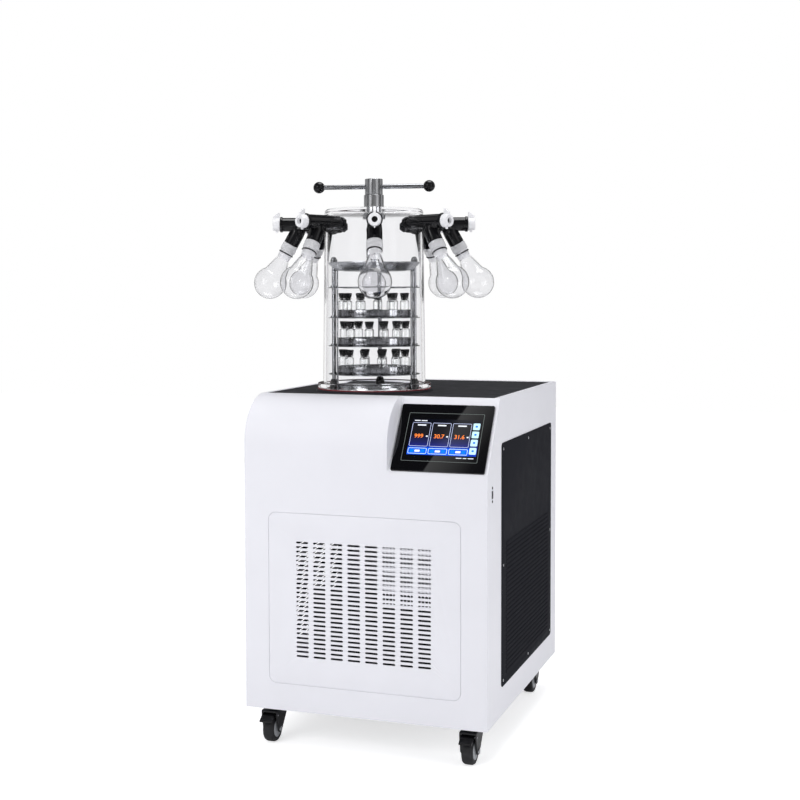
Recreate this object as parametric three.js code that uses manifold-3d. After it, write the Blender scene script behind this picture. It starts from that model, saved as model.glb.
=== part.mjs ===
// A bench-height laboratory freeze dryer on casters: a refrigerated cold trap in a sheet-metal
// casing, a clear vacuum bell with a stoppering rack inside, and a ring of eight flask valves.
// Millimetres. X runs across the front from its left edge, Y runs back from the front face,
// Z runs up from the floor.
import * as THREE from 'three';
import { mergeVertices } from 'three/addons/utils/BufferGeometryUtils.js';
import Module from 'manifold-3d';

const wasm = await Module();
wasm.setup();

// ---------------------------------------------------------------- driving dimensions

// Clearances.
const SEAT_GAP = 0.3; // between faces that seat on each other
const RUNNING_GAP = 0.4; // between faces that turn or slide past each other

// Casing.
const CASING_WIDTH = 580;
const CASING_DEPTH = 710;
const CASING_HEIGHT = 727;
const WHEEL_RADIUS = 31.5;
const CASTER_HEIGHT = 2 * WHEEL_RADIUS + 25; // floor to the casing's underside
const SHEET = 1.5; // folded sheet of the sides and back
const COVER_WALL = 4; // moulded front cover
const COVER_FOOT = 14; // its flange along the bottom
const NOSE_DEPTH = 110; // the front rolls over into the top in this radius
const FACET_DROP = 162; // the sloping facet starts this far below the top
const FACET_START = CASING_WIDTH - 235; // the flat facet starts here
const NOSE_END = FACET_START - 17; // the round nose stops here
const NOSE_STEPS = 9;
const SIDE_RIM = 12; // folded flange along the top of each side
const BACK_RIM = 30; // folded flange along the top of the back
const PAN_WALL = 2;
const PAN_LIP = 26;

// Vent panel in the front cover.
const PANEL_MARGIN = 60; // from each side of the casing
const PANEL_FOOT = 63; // above the casing's underside
const PANEL_HEIGHT = CASING_HEIGHT - 329;
const PANEL_CORNER = 18;
const PANEL_SHEET = 2;
const PANEL_GROOVE = 0.9; // the dark line round the panel
const PANEL_LEDGE = 12;
const SLOT_PITCH_X = 41.8;
const SLOT_PITCH_Z = 10.5;
const SLOT_COLUMNS = Math.floor((CASING_WIDTH - 240) / SLOT_PITCH_X);
const SLOT_ROWS = Math.floor((PANEL_HEIGHT - 122) / SLOT_PITCH_Z);
const SLOT_LENGTH = 30;
const SLOT_HEIGHT = 4;

// Louvred panels on the two sides.
const VENT_FRONT = NOSE_DEPTH + 12; // from the front face
const VENT_LENGTH = CASING_DEPTH - NOSE_DEPTH - 78;
const VENT_FOOT = 66; // above the casing's underside
const VENT_HEIGHT = CASING_HEIGHT - 169;
const VENT_CORNER = 10;
const VENT_LAP = 14; // how far the panel laps over the opening's edge
const LOUVRE_PITCH = 10.6;
const LOUVRES = Math.floor((0.56 * VENT_HEIGHT) / LOUVRE_PITCH);
const LOUVRE_MARGIN = 40; // from the panel's front and back edges
const LOUVRE_FOOT = 24; // the lowest louvre above the panel's lower edge
const LOUVRE_SLIT = 5;
const LOUVRE_HOOD = 2.5; // the hoods stand this far out of the panel

// Top plate and touch screen.
const PLATE_SHEET = 2;
const PLATE_SKIRT = 15;
const SCREEN_WIDTH = 216;
const SCREEN_HEIGHT = 170;
const SCREEN_SIDE = 7; // from the casing's right side
const SCREEN_FOOT = 2.5; // above the facet's lower edge, up the slope
const SCREEN_BEZEL = 5;
const SCREEN_CORNER = 5;
const WINDOW_WIDTH = 178;
const WINDOW_HEIGHT = 122;
const WINDOW_RECESS = 0.6;
const HOUSING_INSET = 18; // the screen's case is this much smaller than its bezel, all round
const HOUSING_DEPTH = 34;

// Chamber: its axis, and heights above the casing's top.
const CHAMBER_X = 230;
const TRAP_BORE = 84;
const TRAP_WALL = 2;
const TRAP_DEPTH = 258;
const TRAP_LIP = 6; // the mouth's rim above its flange
const FOOT_RADIUS = 11; // the rack's feet stand round the trap's mouth
const POST_CIRCLE = TRAP_BORE + TRAP_WALL + FOOT_RADIUS + SEAT_GAP;
const SHELF_RADIUS = POST_CIRCLE + 13;
const BELL_WALL = 6;
const BELL_CROWN = 12;
const BELL_HEAD_RADIUS = SHELF_RADIUS + BELL_WALL + 2.4;
const BELL_FOOT_RADIUS = BELL_HEAD_RADIUS + 4.8;
const BELL_FLANGE = BELL_FOOT_RADIUS + 13;
const BELL_FLANGE_THICKNESS = 12;
const TRAP_FLANGE = BELL_FOOT_RADIUS + 2.5;
const GASKET_THICKNESS = 3;
const GASKET_INNER = BELL_FOOT_RADIUS - 2.5;
const GASKET_OUTER = BELL_FLANGE + 1;
const SEAT_THICKNESS = 5;
const SEAT_RADIUS = GASKET_OUTER + 3.5;
const CHAMBER_Y = NOSE_DEPTH + 4 + SEAT_RADIUS;
const VACUUM_TUBE = 14;
const VACUUM_BORE = 12;
const VACUUM_COLLAR = 19; // where the tube seats on the trap
const VACUUM_FLANGE = 20;
const VACUUM_DROP = 175; // below the casing's top
const VACUUM_REACH = 34; // the flange's face behind the back
const CHAMBER_SIDES = 24; // facets round the bell, its seat and the trap

// The rack and the pressing dish, as heights above the casing's top
const POST_RADIUS = 5;
const POST_SIDES = 8;
const REAR_POST_OFFSET = 15;
const FOOT_HEIGHT = 24;
const SHELF_HEIGHTS = [42.6, 110.6, 178.2, 250.9];
const SHELF_THICKNESS = 2;
const TRAY_COUNT = 3;
const TRAY_RADIUS = POST_CIRCLE - POST_RADIUS - 2.3;
const TRAY_HEIGHT = 17.5;
const TRAY_WALL = 1;
const PRESS_FLOOR = SHELF_HEIGHTS[3] + 39.6; // underside of the pressing dish
const PRESS_FLOOR_RADIUS = TRAY_RADIUS + 2;
const PRESS_RIM_RADIUS = SHELF_RADIUS + 0.2;
const PRESS_DEPTH = 19.5;
const PRESS_WALL = 2;
const PRESS_BOSS = 16;
const POST_TOP = PRESS_FLOOR + 21;
const CAPNUT_RADIUS = 8;
const CAPNUT_TOP = POST_TOP + 12.5;
const BELL_HEIGHT = CAPNUT_TOP + 113; // top of the bell

// Screw press
const ROD_RADIUS = 8;
const COLLAR_RADIUS = 23.8;
const COLLAR_HEIGHT = 34.3;
const COLLAR_SHANK = 17.7;
const LOCKNUT_RADIUS = 27;
const LOCKNUT_THICKNESS = 10;
const HUB_RADIUS = 21.3;
const HUB_HEIGHT = 38;
const HUB_ROOF = 6;
const BAR_RISE = 19.4; // the cross bar above the hub's foot
const ROD_DROP = 8.3; // the screw's top below the cross bar
const BAR_RADIUS = 5.6;
const BAR_TURN = 10.9; // degrees round from the X axis
const BALL_RADIUS = 14;
const BALL_SPAN = 268; // between the balls' centres
const SCREW_SIDES = 14;
const BAR_SIDES = 10;

// Rack and trays: heights above the casing's top.
const RACK_TURN = 19.9; // degrees: the posts stand square to the first valve

// Flask valves, as distances from the chamber's axis
const VALVES = 8;
const FIRST_VALVE = -90 + 19.9; // degrees: the direction of the first valve
const VALVE_HEIGHT = BELL_HEIGHT - 36;
const SPIGOT_RADIUS = 10;
const SPIGOT_NUT = 14;
const SPIGOT_NUT_THICKNESS = 8;
const BARREL_RADIUS = 16.5;
const BARREL_END = BELL_HEAD_RADIUS + 107.3;
const BARREL_FLANGE = 18.5;
const BARREL_FLANGE_THICKNESS = 6;
const PLUG_RADIUS = 7.7;
const PLUG_DEPTH = 26;
const KNOB_RADIUS = 15.5;
const KNOB_END_RADIUS = 14;
const KNOB_LENGTH = 17.5;
const KNOB_RECESS = 7;
const LEVER_TOP = 29.5;
const LEVER_WIDTH = 6;
const POINTER_FOOT = 19.5;
const BRANCH_START = BELL_HEAD_RADIUS + 55.3;
const BRANCH_TILT = 29; // degrees outward from straight down
const BRANCH_RADIUS = 18;
const BRANCH_END = 55;
const NOZZLE_RADIUS = 12;
const NOZZLE_END = 74;
const COUPLING_RADIUS = 19; // the flask's collar, down to its band
const COUPLING_BAND = 72;
const COUPLING_FOOT_RADIUS = 16.5; // the collar's narrower foot
const COUPLING_END = 80;
const NECK_RADIUS = 15.2;
const NECK_END = 94;
const BULB_RADIUS = 39.5; // to the facets' corners
const BULB_CENTRE = 160;
const FLASK_END = 198.5;
const FLASK_WALL = 2;
const VALVE_SIDES = 8;
const FLASK_SIDES = 8;

// Casters.
const CASTER_INSET_X = 50;
const CASTER_INSET_FRONT = 62;
const CASTER_INSET_BACK = 62;
const WHEEL_WIDTH = 26;
const WHEEL_HUB = 17;
const WHEEL_SIDES = 12;
const AXLE_RADIUS = 4;
const CASTER_TRAIL = 22;
const FORK_INSIDE = 34;
const FORK_WALL = 3;
const SWIVEL_PLATE = 3;
const SWIVEL_RADIUS = 21;
const KINGPIN_RADIUS = 5;
const KINGPIN_HEAD = 8;
const PEDAL_PIVOT_Y = -36;
const PEDAL_PIVOT_Z = CASTER_HEIGHT - 22;
const PEDAL_PIN = 2;
const PEDAL_HUB = 4.4;
const PEDAL_WIDTH = 30;

// Refrigeration.
const COMPRESSOR_X = CASING_WIDTH - 160;
const COMPRESSOR_Y = CASING_DEPTH - 190;
const COMPRESSOR_RADIUS = 78;
const COMPRESSOR_HEIGHT = 215;
const CONDENSER_WIDTH = 300;
const CONDENSER_HEIGHT = 270;
const CONDENSER_DEPTH = 40;
const CONDENSER_BACKSET = 42; // behind the front face
const CONDENSER_FINS = 6;
const FAN_RADIUS = 100;
const FAN_BLADES = 5;
const FAN_HUB = 24;
const FAN_DEPTH = 18;
const SHAFT_RADIUS = 4;
const MOTOR_RADIUS = 30;
const MOTOR_LENGTH = 45;

// Worked out from the above.
const BASE = CASTER_HEIGHT;
const TOP = CASTER_HEIGHT + CASING_HEIGHT;
const SEAT_TOP = TOP + SEAT_THICKNESS;
const BELL_BASE = SEAT_TOP + GASKET_THICKNESS;
const FACET_FOOT = TOP - FACET_DROP;
const VACUUM_HEIGHT = TOP - VACUUM_DROP;
const radians = THREE.MathUtils.degToRad;

// ---------------------------------------------------------------- materials

function finish(color, roughness, metalness) {
  return new THREE.MeshStandardMaterial({ color, roughness, metalness });
}

const whitePaint = finish(0xe6e6ec, 0.45, 0);
const blackPaint = finish(0x2b2c31, 0.5, 0);
const darkSteel = finish(0x6d7076, 0.45, 0.8);
const steel = finish(0xb4b7bc, 0.3, 1);
const blackPlastic = finish(0x121214, 0.4, 0);
const whitePlastic = finish(0xf0f0f2, 0.4, 0);
const glossBlack = finish(0x0b0c0f, 0.12, 0);
const redRubber = finish(0xa5202c, 0.6, 0);
const blackRubber = finish(0x1b1c1f, 0.75, 0);
const acrylic = finish(0xe4e8ee, 0.08, 0);
acrylic.transparent = true;
acrylic.opacity = 0.3;
const glass = acrylic.clone();

// ---------------------------------------------------------------- solids

// A closed three.js geometry as a solid that can be joined to others or cut by them.
function solid(geometry) {
  const bare = geometry.index ? geometry.toNonIndexed() : geometry.clone();
  for (const name of Object.keys(bare.attributes)) {
    if (name !== 'position') bare.deleteAttribute(name);
  }
  const merged = mergeVertices(bare, 1e-4);
  const at = merged.attributes.position;
  const corner = [new THREE.Vector3(), new THREE.Vector3(), new THREE.Vector3()];
  const faces = [];
  let volume = 0;
  for (let i = 0; i < merged.index.count; i += 3) {
    const face = [0, 1, 2].map((k) => merged.index.getX(i + k));
    if (new Set(face).size < 3) continue; // a sliver where a profile meets its axis
    face.forEach((vertex, k) => corner[k].fromBufferAttribute(at, vertex));
    volume += corner[0].dot(corner[1].clone().cross(corner[2]));
    faces.push(face);
  }
  const outward = volume > 0 ? faces : faces.map(([a, b, c]) => [a, c, b]);
  return new wasm.Manifold(new wasm.Mesh({
    numProp: 3,
    vertProperties: at.array,
    triVerts: new Uint32Array(outward.flat()),
  }));
}

function join(...solids) {
  return solids.reduce((whole, next) => whole.add(next));
}

function cut(whole, ...tools) {
  return tools.reduce((rest, tool) => rest.subtract(tool), whole);
}

function boxGeometry(low, high) {
  const size = high.map((value, k) => value - low[k]);
  const centre = high.map((value, k) => (value + low[k]) / 2);
  return new THREE.BoxGeometry(...size).translate(...centre);
}

function box(low, high) {
  return solid(boxGeometry(low, high));
}

// A profile of [radius, height] points, turned round the Z axis. A profile that isn't on the
// axis at both ends is closed into a ring.
function turnedGeometry(profile, sides) {
  const points = profile.map(([r, z]) => new THREE.Vector2(r, z));
  const ring = profile[0][0] > 0 || profile[profile.length - 1][0] > 0;
  if (ring) points.push(points[0].clone());
  return new THREE.LatheGeometry(points, sides).rotateX(Math.PI / 2);
}

function turned(profile, sides) {
  return solid(turnedGeometry(profile, sides));
}

function cylinderGeometry(radius, low, high, sides) {
  return new THREE.CylinderGeometry(radius, radius, high - low, sides)
    .rotateX(Math.PI / 2)
    .translate(0, 0, (low + high) / 2);
}

// The radius of a faceted bore whose flats clear a round shaft by a gap.
function boreFor(shaft, gap, sides) {
  return (shaft + gap) / Math.cos(Math.PI / sides);
}

function upright(x, y, radius, low, high, sides) {
  return solid(cylinderGeometry(radius, low, high, sides).translate(x, y, 0));
}

// A cylinder along Y (or X) through a point, from one distance to another.
function alongY(x, z, radius, low, high, sides) {
  return solid(cylinderGeometry(radius, low, high, sides).rotateX(-Math.PI / 2).translate(x, 0, z));
}

function alongX(y, z, radius, low, high, sides) {
  return solid(cylinderGeometry(radius, low, high, sides).rotateY(Math.PI / 2).translate(0, y, z));
}

// An outline through points, less the ones that lie on a straight run.
function polygon(points) {
  const corners = points.map(([x, y]) => new THREE.Vector2(x, y)).filter((point, i, all) => {
    const before = all[(i + all.length - 1) % all.length];
    const after = all[(i + 1) % all.length];
    const turn = point.clone().sub(before).normalize().cross(after.clone().sub(point).normalize());
    return Math.abs(turn) > 1e-4;
  });
  return new THREE.Shape(corners);
}

function roundedRectangle(left, low, right, high, radius) {
  const shape = new THREE.Shape();
  shape.moveTo(left + radius, low);
  shape.absarc(right - radius, low + radius, radius, -Math.PI / 2, 0);
  shape.absarc(right - radius, high - radius, radius, 0, Math.PI / 2);
  shape.absarc(left + radius, high - radius, radius, Math.PI / 2, Math.PI);
  shape.absarc(left + radius, low + radius, radius, Math.PI, Math.PI * 1.5);
  shape.closePath();
  return shape;
}

function extruded(shape, depth, curveSegments = 5) {
  return new THREE.ExtrudeGeometry(shape, { depth, bevelEnabled: false, curveSegments });
}

// An outline drawn in a plane and given thickness: XZ outlines grow along Y, YZ outlines along X.
function slabXZ(shape, front, back, curveSegments) {
  return solid(extruded(shape, back - front, curveSegments).rotateX(Math.PI / 2).translate(0, back, 0));
}

function slabYZ(shape, left, right, curveSegments) {
  const basis = new THREE.Matrix4().makeBasis(
    new THREE.Vector3(0, 1, 0),
    new THREE.Vector3(0, 0, 1),
    new THREE.Vector3(1, 0, 0),
  );
  const slab = extruded(shape, right - left, curveSegments).applyMatrix4(basis);
  return solid(slab.translate(left, 0, 0));
}

// A skin through sections at rising X. Each section lists as many [y, z] points as the next.
function loft(sections) {
  const count = sections[0].points.length;
  const positions = [];
  const corner = (s, i) => {
    const [y, z] = sections[s].points[i % count];
    return [sections[s].x, y, z];
  };
  const face = (...corners) => corners.forEach((point) => positions.push(...point));
  for (let s = 0; s + 1 < sections.length; s += 1) {
    for (let i = 0; i < count; i += 1) {
      face(corner(s, i), corner(s + 1, i), corner(s + 1, i + 1));
      face(corner(s, i), corner(s + 1, i + 1), corner(s, i + 1));
    }
  }
  const area = (points) => THREE.ShapeUtils.area(points.map(([y, z]) => new THREE.Vector2(y, z)));
  for (const [s, side] of [[0, 1], [sections.length - 1, -1]]) {
    const { points } = sections[s];
    const outline = points.map(([y, z]) => new THREE.Vector2(y, z));
    const cap = THREE.ShapeUtils.triangulateShape(outline, []);
    const covered = cap.reduce((sum, ends) => sum + area(ends.map((i) => points[i])), 0);
    const kept = covered * area(points) * side > 0;
    for (const [a, b, c] of cap) {
      face(...(kept ? [a, b, c] : [a, c, b]).map((i) => corner(s, i)));
    }
  }
  const geometry = new THREE.BufferGeometry();
  geometry.setAttribute('position', new THREE.Float32BufferAttribute(positions, 3));
  return solid(geometry);
}

// ---------------------------------------------------------------- the assembly

const machine = new THREE.Group();

function geometryOf(made) {
  const { vertProperties, triVerts } = made.getMesh();
  const geometry = new THREE.BufferGeometry();
  geometry.setAttribute('position', new THREE.BufferAttribute(new Float32Array(vertProperties), 3));
  geometry.setIndex(new THREE.BufferAttribute(new Uint32Array(triVerts), 1));
  const faceted = geometry.toNonIndexed();
  faceted.computeVertexNormals();
  return faceted;
}

function add(name, made, material, parent = machine) {
  const geometry = made.isBufferGeometry ? made : geometryOf(made);
  const mesh = new THREE.Mesh(geometry, material);
  mesh.name = name;
  parent.add(mesh);
  return mesh;
}

// ---------------------------------------------------------------- casing

// The edge that runs from the facet's foot to the nose's back, as [y, z] points. Flatness 0 is
// the round nose, 1 the flat facet, and inset moves the edge inwards by a wall.
function noseEdge(flatness, inset) {
  const straight = FACET_DROP - NOSE_DEPTH;
  const run = straight + (Math.PI / 2) * NOSE_DEPTH;
  const slope = Math.hypot(NOSE_DEPTH, FACET_DROP);
  const along = [NOSE_DEPTH / slope, FACET_DROP / slope];
  const inward = [FACET_DROP / slope, -NOSE_DEPTH / slope];
  const first = (inset * (1 - inward[0])) / along[0];
  const last = (NOSE_DEPTH - inset * inward[0]) / along[0];
  const points = [];
  for (let i = 0; i <= NOSE_STEPS; i += 1) {
    const t = i / NOSE_STEPS;
    const turn = Math.max(0, t * run - straight) / NOSE_DEPTH;
    const round = t * run < straight
      ? [inset, FACET_FOOT + t * run]
      : [
        NOSE_DEPTH - (NOSE_DEPTH - inset) * Math.cos(turn),
        TOP - NOSE_DEPTH + (NOSE_DEPTH - inset) * Math.sin(turn),
      ];
    const s = first + t * (last - first);
    const flat = [
      inward[0] * inset + along[0] * s,
      FACET_FOOT + inward[1] * inset + along[1] * s,
    ];
    points.push(round.map((value, k) => value + flatness * (flat[k] - value)));
  }
  return points;
}

function coverSection(x, flatness) {
  const outside = [[0, BASE], ...noseEdge(flatness, 0)];
  const foot = COVER_WALL + COVER_FOOT;
  const inside = [
    [foot, BASE],
    [foot, BASE + COVER_WALL],
    [COVER_WALL, BASE + COVER_WALL],
    ...noseEdge(flatness, COVER_WALL),
  ];
  return { x, points: [...outside, ...inside.reverse()] };
}

// The facet's own frame: X across, Y up the slope from its foot, Z out of the surface.
function facetFrame() {
  const up = new THREE.Vector3(0, NOSE_DEPTH, FACET_DROP).normalize();
  const across = new THREE.Vector3(1, 0, 0);
  const out = new THREE.Vector3().crossVectors(across, up);
  return new THREE.Matrix4().makeBasis(across, up, out).setPosition(0, 0, FACET_FOOT);
}

function onFacet(geometry) {
  return solid(geometry.applyMatrix4(facetFrame()));
}

const screenRight = CASING_WIDTH - SCREEN_SIDE;
const screenLeft = screenRight - SCREEN_WIDTH;
const panelLeft = PANEL_MARGIN;
const panelRight = CASING_WIDTH - PANEL_MARGIN;
const panelLow = BASE + PANEL_FOOT;
const panelHigh = panelLow + PANEL_HEIGHT;

function frontCover() {
  const sections = [coverSection(0, 0), coverSection(NOSE_END, 0)];
  const blends = 4;
  for (let i = 1; i < blends; i += 1) {
    const t = i / blends;
    sections.push(coverSection(NOSE_END + t * (FACET_START - NOSE_END), t * t * (3 - 2 * t)));
  }
  sections.push(coverSection(FACET_START, 1), coverSection(CASING_WIDTH, 1));
  const rebate = roundedRectangle(panelLeft, panelLow, panelRight, panelHigh, PANEL_CORNER);
  const ledge = roundedRectangle(
    panelLeft + PANEL_LEDGE,
    panelLow + PANEL_LEDGE,
    panelRight - PANEL_LEDGE,
    panelHigh - PANEL_LEDGE,
    PANEL_CORNER / 2,
  );
  const screenHole = new THREE.BoxGeometry(1, 1, 1)
    .scale(
      SCREEN_WIDTH - 2 * HOUSING_INSET + 2 * SEAT_GAP,
      SCREEN_HEIGHT - 2 * HOUSING_INSET + 2 * SEAT_GAP,
      4 * COVER_WALL,
    )
    .translate(screenLeft + SCREEN_WIDTH / 2, SCREEN_FOOT + SCREEN_HEIGHT / 2, 0);
  return cut(
    loft(sections),
    slabXZ(rebate, -1, PANEL_SHEET),
    slabXZ(ledge, -1, COVER_WALL + 1),
    onFacet(screenHole),
  );
}

// The vent panel drops into the cover's rebate; its slots stand in columns.
function frontVentPanel() {
  const outline = roundedRectangle(
    panelLeft + PANEL_GROOVE,
    panelLow + PANEL_GROOVE,
    panelRight - PANEL_GROOVE,
    panelHigh - PANEL_GROOVE,
    PANEL_CORNER - PANEL_GROOVE,
  );
  const centreX = (panelLeft + panelRight) / 2;
  const centreZ = (panelLow + panelHigh) / 2;
  const slots = [];
  for (let column = 0; column < SLOT_COLUMNS; column += 1) {
    const x = centreX + (column - (SLOT_COLUMNS - 1) / 2) * SLOT_PITCH_X - SLOT_LENGTH / 2;
    for (let row = 0; row < SLOT_ROWS; row += 1) {
      const z = centreZ + (row - (SLOT_ROWS - 1) / 2) * SLOT_PITCH_Z - SLOT_HEIGHT / 2;
      slots.push(box([x, -1, z], [x + SLOT_LENGTH, PANEL_SHEET + 1, z + SLOT_HEIGHT]));
    }
  }
  return cut(slabXZ(outline, 0, PANEL_SHEET), ...slots);
}

// What is cut from the folded sheet's front, a seat gap behind the cover's inner face.
function roomForCover(flatness, left, right) {
  const inset = COVER_WALL + SEAT_GAP;
  const margin = 10;
  return slabYZ(polygon([
    [-margin, BASE - margin],
    [inset + COVER_FOOT, BASE - margin],
    [inset + COVER_FOOT, BASE + inset],
    [inset, BASE + inset],
    ...noseEdge(flatness, inset),
    [NOSE_DEPTH + SEAT_GAP, TOP - inset],
    [NOSE_DEPTH + SEAT_GAP, TOP + margin],
    [-margin, TOP + margin],
  ]), left, right);
}

function ventOpening(left, right) {
  const shape = roundedRectangle(
    VENT_FRONT + VENT_LAP,
    BASE + VENT_FOOT + VENT_LAP,
    VENT_FRONT + VENT_LENGTH - VENT_LAP,
    BASE + VENT_FOOT + VENT_HEIGHT - VENT_LAP,
    VENT_CORNER,
  );
  return slabYZ(shape, left, right, 2);
}

const inlet = { x: CASING_WIDTH - 120, z: BASE + 70, width: 48, height: 30, depth: 26 };

// A three-pin appliance inlet, open to the back.
function powerInlet() {
  const back = CASING_DEPTH;
  const half = [inlet.width / 2, inlet.height / 2];
  const wall = 3;
  const shell = box(
    [inlet.x - half[0], back - inlet.depth, inlet.z - half[1]],
    [inlet.x + half[0], back - SHEET / 2, inlet.z + half[1]],
  );
  const mouth = inletMouth(back - inlet.depth + wall, wall);
  const pins = [[-7, 2], [0, -2], [7, 2]].map(([dx, dz]) => box(
    [inlet.x + dx - 1, back - inlet.depth + wall / 2, inlet.z + dz - 2],
    [inlet.x + dx + 1, back - SHEET - 3, inlet.z + dz + 2],
  ));
  return { shell, mouth, pins };
}

function inletMouth(front, wall) {
  const half = [inlet.width / 2 - 4 * wall, inlet.height / 2 - wall];
  return box(
    [inlet.x - half[0], front, inlet.z - half[1]],
    [inlet.x + half[0], CASING_DEPTH + 1, inlet.z + half[1]],
  );
}

// Two sides and the back folded from one sheet, with flanges along the top.
function housingWrap() {
  const right = CASING_WIDTH;
  const back = CASING_DEPTH;
  const folded = cut(
    box([0, 0, BASE], [right, back, TOP]),
    box([SHEET, -1, BASE - 1], [right - SHEET, back - SHEET, TOP - SHEET]),
    box([SIDE_RIM, -1, TOP - 2 * SHEET], [right - SIDE_RIM, back - BACK_RIM, TOP + 1]),
    roomForCover(0, -1, right / 2),
    roomForCover(1, right / 2, right + 1),
  );
  const { shell, mouth, pins } = powerInlet();
  const open = cut(
    join(folded, shell),
    mouth,
    ventOpening(-1, SHEET + 1),
    ventOpening(right - SHEET - 1, right + 1),
    alongY(
      CHAMBER_X, VACUUM_HEIGHT, boreFor(VACUUM_TUBE, RUNNING_GAP, 12), back - 5, back + 5, 12,
    ),
  );
  return join(open, ...pins);
}

// A vented panel lies on the outside of a side. Each long slit has a hood pressed out over it.
function sideVent() {
  const back = VENT_FRONT + VENT_LENGTH;
  const low = BASE + VENT_FOOT;
  const outline = roundedRectangle(VENT_FRONT, low, back, low + VENT_HEIGHT, VENT_CORNER);
  const from = VENT_FRONT + LOUVRE_MARGIN;
  const to = back - LOUVRE_MARGIN;
  const slits = [];
  const hoods = [];
  for (let i = 0; i < LOUVRES; i += 1) {
    const foot = low + LOUVRE_FOOT + i * LOUVRE_PITCH;
    const head = foot + LOUVRE_SLIT;
    slits.push(box([-1, from, foot], [SHEET + 1, to, head]));
    hoods.push(slabXZ(polygon([
      [0, head],
      [SHEET, head + LOUVRE_HOOD],
      [SHEET + LOUVRE_HOOD, foot + 1],
    ]), from, to));
  }
  return join(cut(slabYZ(outline, 0, SHEET, 2), ...slits), ...hoods);
}

function topPlate() {
  const left = SIDE_RIM + SEAT_GAP;
  const right = CASING_WIDTH - SIDE_RIM - SEAT_GAP;
  const front = NOSE_DEPTH + SEAT_GAP;
  const back = CASING_DEPTH - BACK_RIM - SEAT_GAP;
  const hollow = box(
    [left + PLATE_SHEET, front + PLATE_SHEET, TOP - PLATE_SKIRT - 1],
    [right - PLATE_SHEET, back - PLATE_SHEET, TOP - PLATE_SHEET],
  );
  return cut(
    box([left, front, TOP - PLATE_SKIRT], [right, back, TOP]),
    hollow,
    upright(CHAMBER_X, CHAMBER_Y, TRAP_BORE + TRAP_WALL + 6, TOP - 20, TOP + 5, CHAMBER_SIDES),
  );
}

// The bezel lies on the facet and its case hangs through the cover's hole.
function touchScreen() {
  const foot = SCREEN_FOOT;
  const bezel = roundedRectangle(screenLeft, foot, screenRight, foot + SCREEN_HEIGHT, SCREEN_CORNER);
  const face = onFacet(extruded(bezel, SCREEN_BEZEL - SEAT_GAP, 3).translate(0, 0, SEAT_GAP));
  const centre = [screenLeft + SCREEN_WIDTH / 2, foot + SCREEN_HEIGHT / 2];
  const block = (width, height, low, high) => onFacet(boxGeometry(
    [centre[0] - width / 2, centre[1] - height / 2, low],
    [centre[0] + width / 2, centre[1] + height / 2, high],
  ));
  return cut(
    join(face, block(
      SCREEN_WIDTH - 2 * HOUSING_INSET,
      SCREEN_HEIGHT - 2 * HOUSING_INSET,
      -HOUSING_DEPTH,
      SCREEN_BEZEL / 2,
    )),
    block(WINDOW_WIDTH, WINDOW_HEIGHT, SCREEN_BEZEL - WINDOW_RECESS, SCREEN_BEZEL + 1),
  );
}

const casters = [
  { name: 'front_left', x: CASTER_INSET_X, y: CASTER_INSET_FRONT },
  { name: 'front_right', x: CASING_WIDTH - CASTER_INSET_X, y: CASTER_INSET_FRONT },
  { name: 'back_left', x: CASTER_INSET_X, y: CASING_DEPTH - CASTER_INSET_BACK },
  { name: 'back_right', x: CASING_WIDTH - CASTER_INSET_X, y: CASING_DEPTH - CASTER_INSET_BACK },
];
const forkTop = BASE - SWIVEL_PLATE - RUNNING_GAP;
const forkWebTop = forkTop - 8;
const forkWebLow = forkWebTop - 5;

// The floor of the casing, with the casters' plates and kingpins riveted to it.
function basePan() {
  const inset = SHEET + SEAT_GAP;
  const front = COVER_WALL + COVER_FOOT + SEAT_GAP;
  const back = CASING_DEPTH - inset;
  const tray = cut(
    box([inset, front, BASE], [CASING_WIDTH - inset, back, BASE + PAN_LIP]),
    box(
      [inset + PAN_WALL, front + PAN_WALL, BASE + PAN_WALL],
      [CASING_WIDTH - inset - PAN_WALL, back - PAN_WALL, BASE + PAN_LIP + 1],
    ),
  );
  const feet = casters.map(({ x, y }) => join(
    box([x - 29, y - 29, BASE - SWIVEL_PLATE], [x + 29, y + 29, BASE + PAN_WALL / 2]),
    upright(x, y, KINGPIN_RADIUS, forkWebLow - 3, BASE, 8),
    upright(x, y, KINGPIN_HEAD, forkWebLow - 3 - RUNNING_GAP, forkWebLow - RUNNING_GAP, 8),
  ));
  return join(tray, ...feet);
}

add('base_pan', basePan(), darkSteel);
add('housing_wrap', housingWrap(), whitePaint);
add('front_cover', frontCover(), whitePaint);
add('front_vent_panel', frontVentPanel(), whitePaint);
const vent = geometryOf(sideVent());
add('side_vent_right', vent, blackPaint).position.x = CASING_WIDTH;
const mirrored = vent.clone().applyMatrix4(new THREE.Matrix4().makeScale(-1, 1, 1));
add('side_vent_left', solid(mirrored), blackPaint);
add('top_plate', topPlate(), blackPaint);
add('touch_screen', touchScreen(), glossBlack);

// ---------------------------------------------------------------- cold trap and bell

const chamber = new THREE.Group();
chamber.position.set(CHAMBER_X, CHAMBER_Y, 0);
machine.add(chamber);

// A drawn steel well with a welded flange and a rolled mouth, holed at the back for its tube.
function coldTrap() {
  const outside = TRAP_BORE + TRAP_WALL;
  const foot = TOP - TRAP_DEPTH;
  const well = turned([
    [0, foot], [outside, foot], [outside, TOP], [TRAP_FLANGE, TOP], [TRAP_FLANGE, SEAT_TOP],
    [outside, SEAT_TOP], [outside, SEAT_TOP + TRAP_LIP], [TRAP_BORE, SEAT_TOP + TRAP_LIP],
    [TRAP_BORE, foot + TRAP_WALL], [0, foot + TRAP_WALL],
  ], CHAMBER_SIDES);
  const hole = boreFor(VACUUM_TUBE, SEAT_GAP, 12);
  return cut(well, alongY(0, VACUUM_HEIGHT, hole, TRAP_BORE - 10, outside + 2, 12));
}

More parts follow.
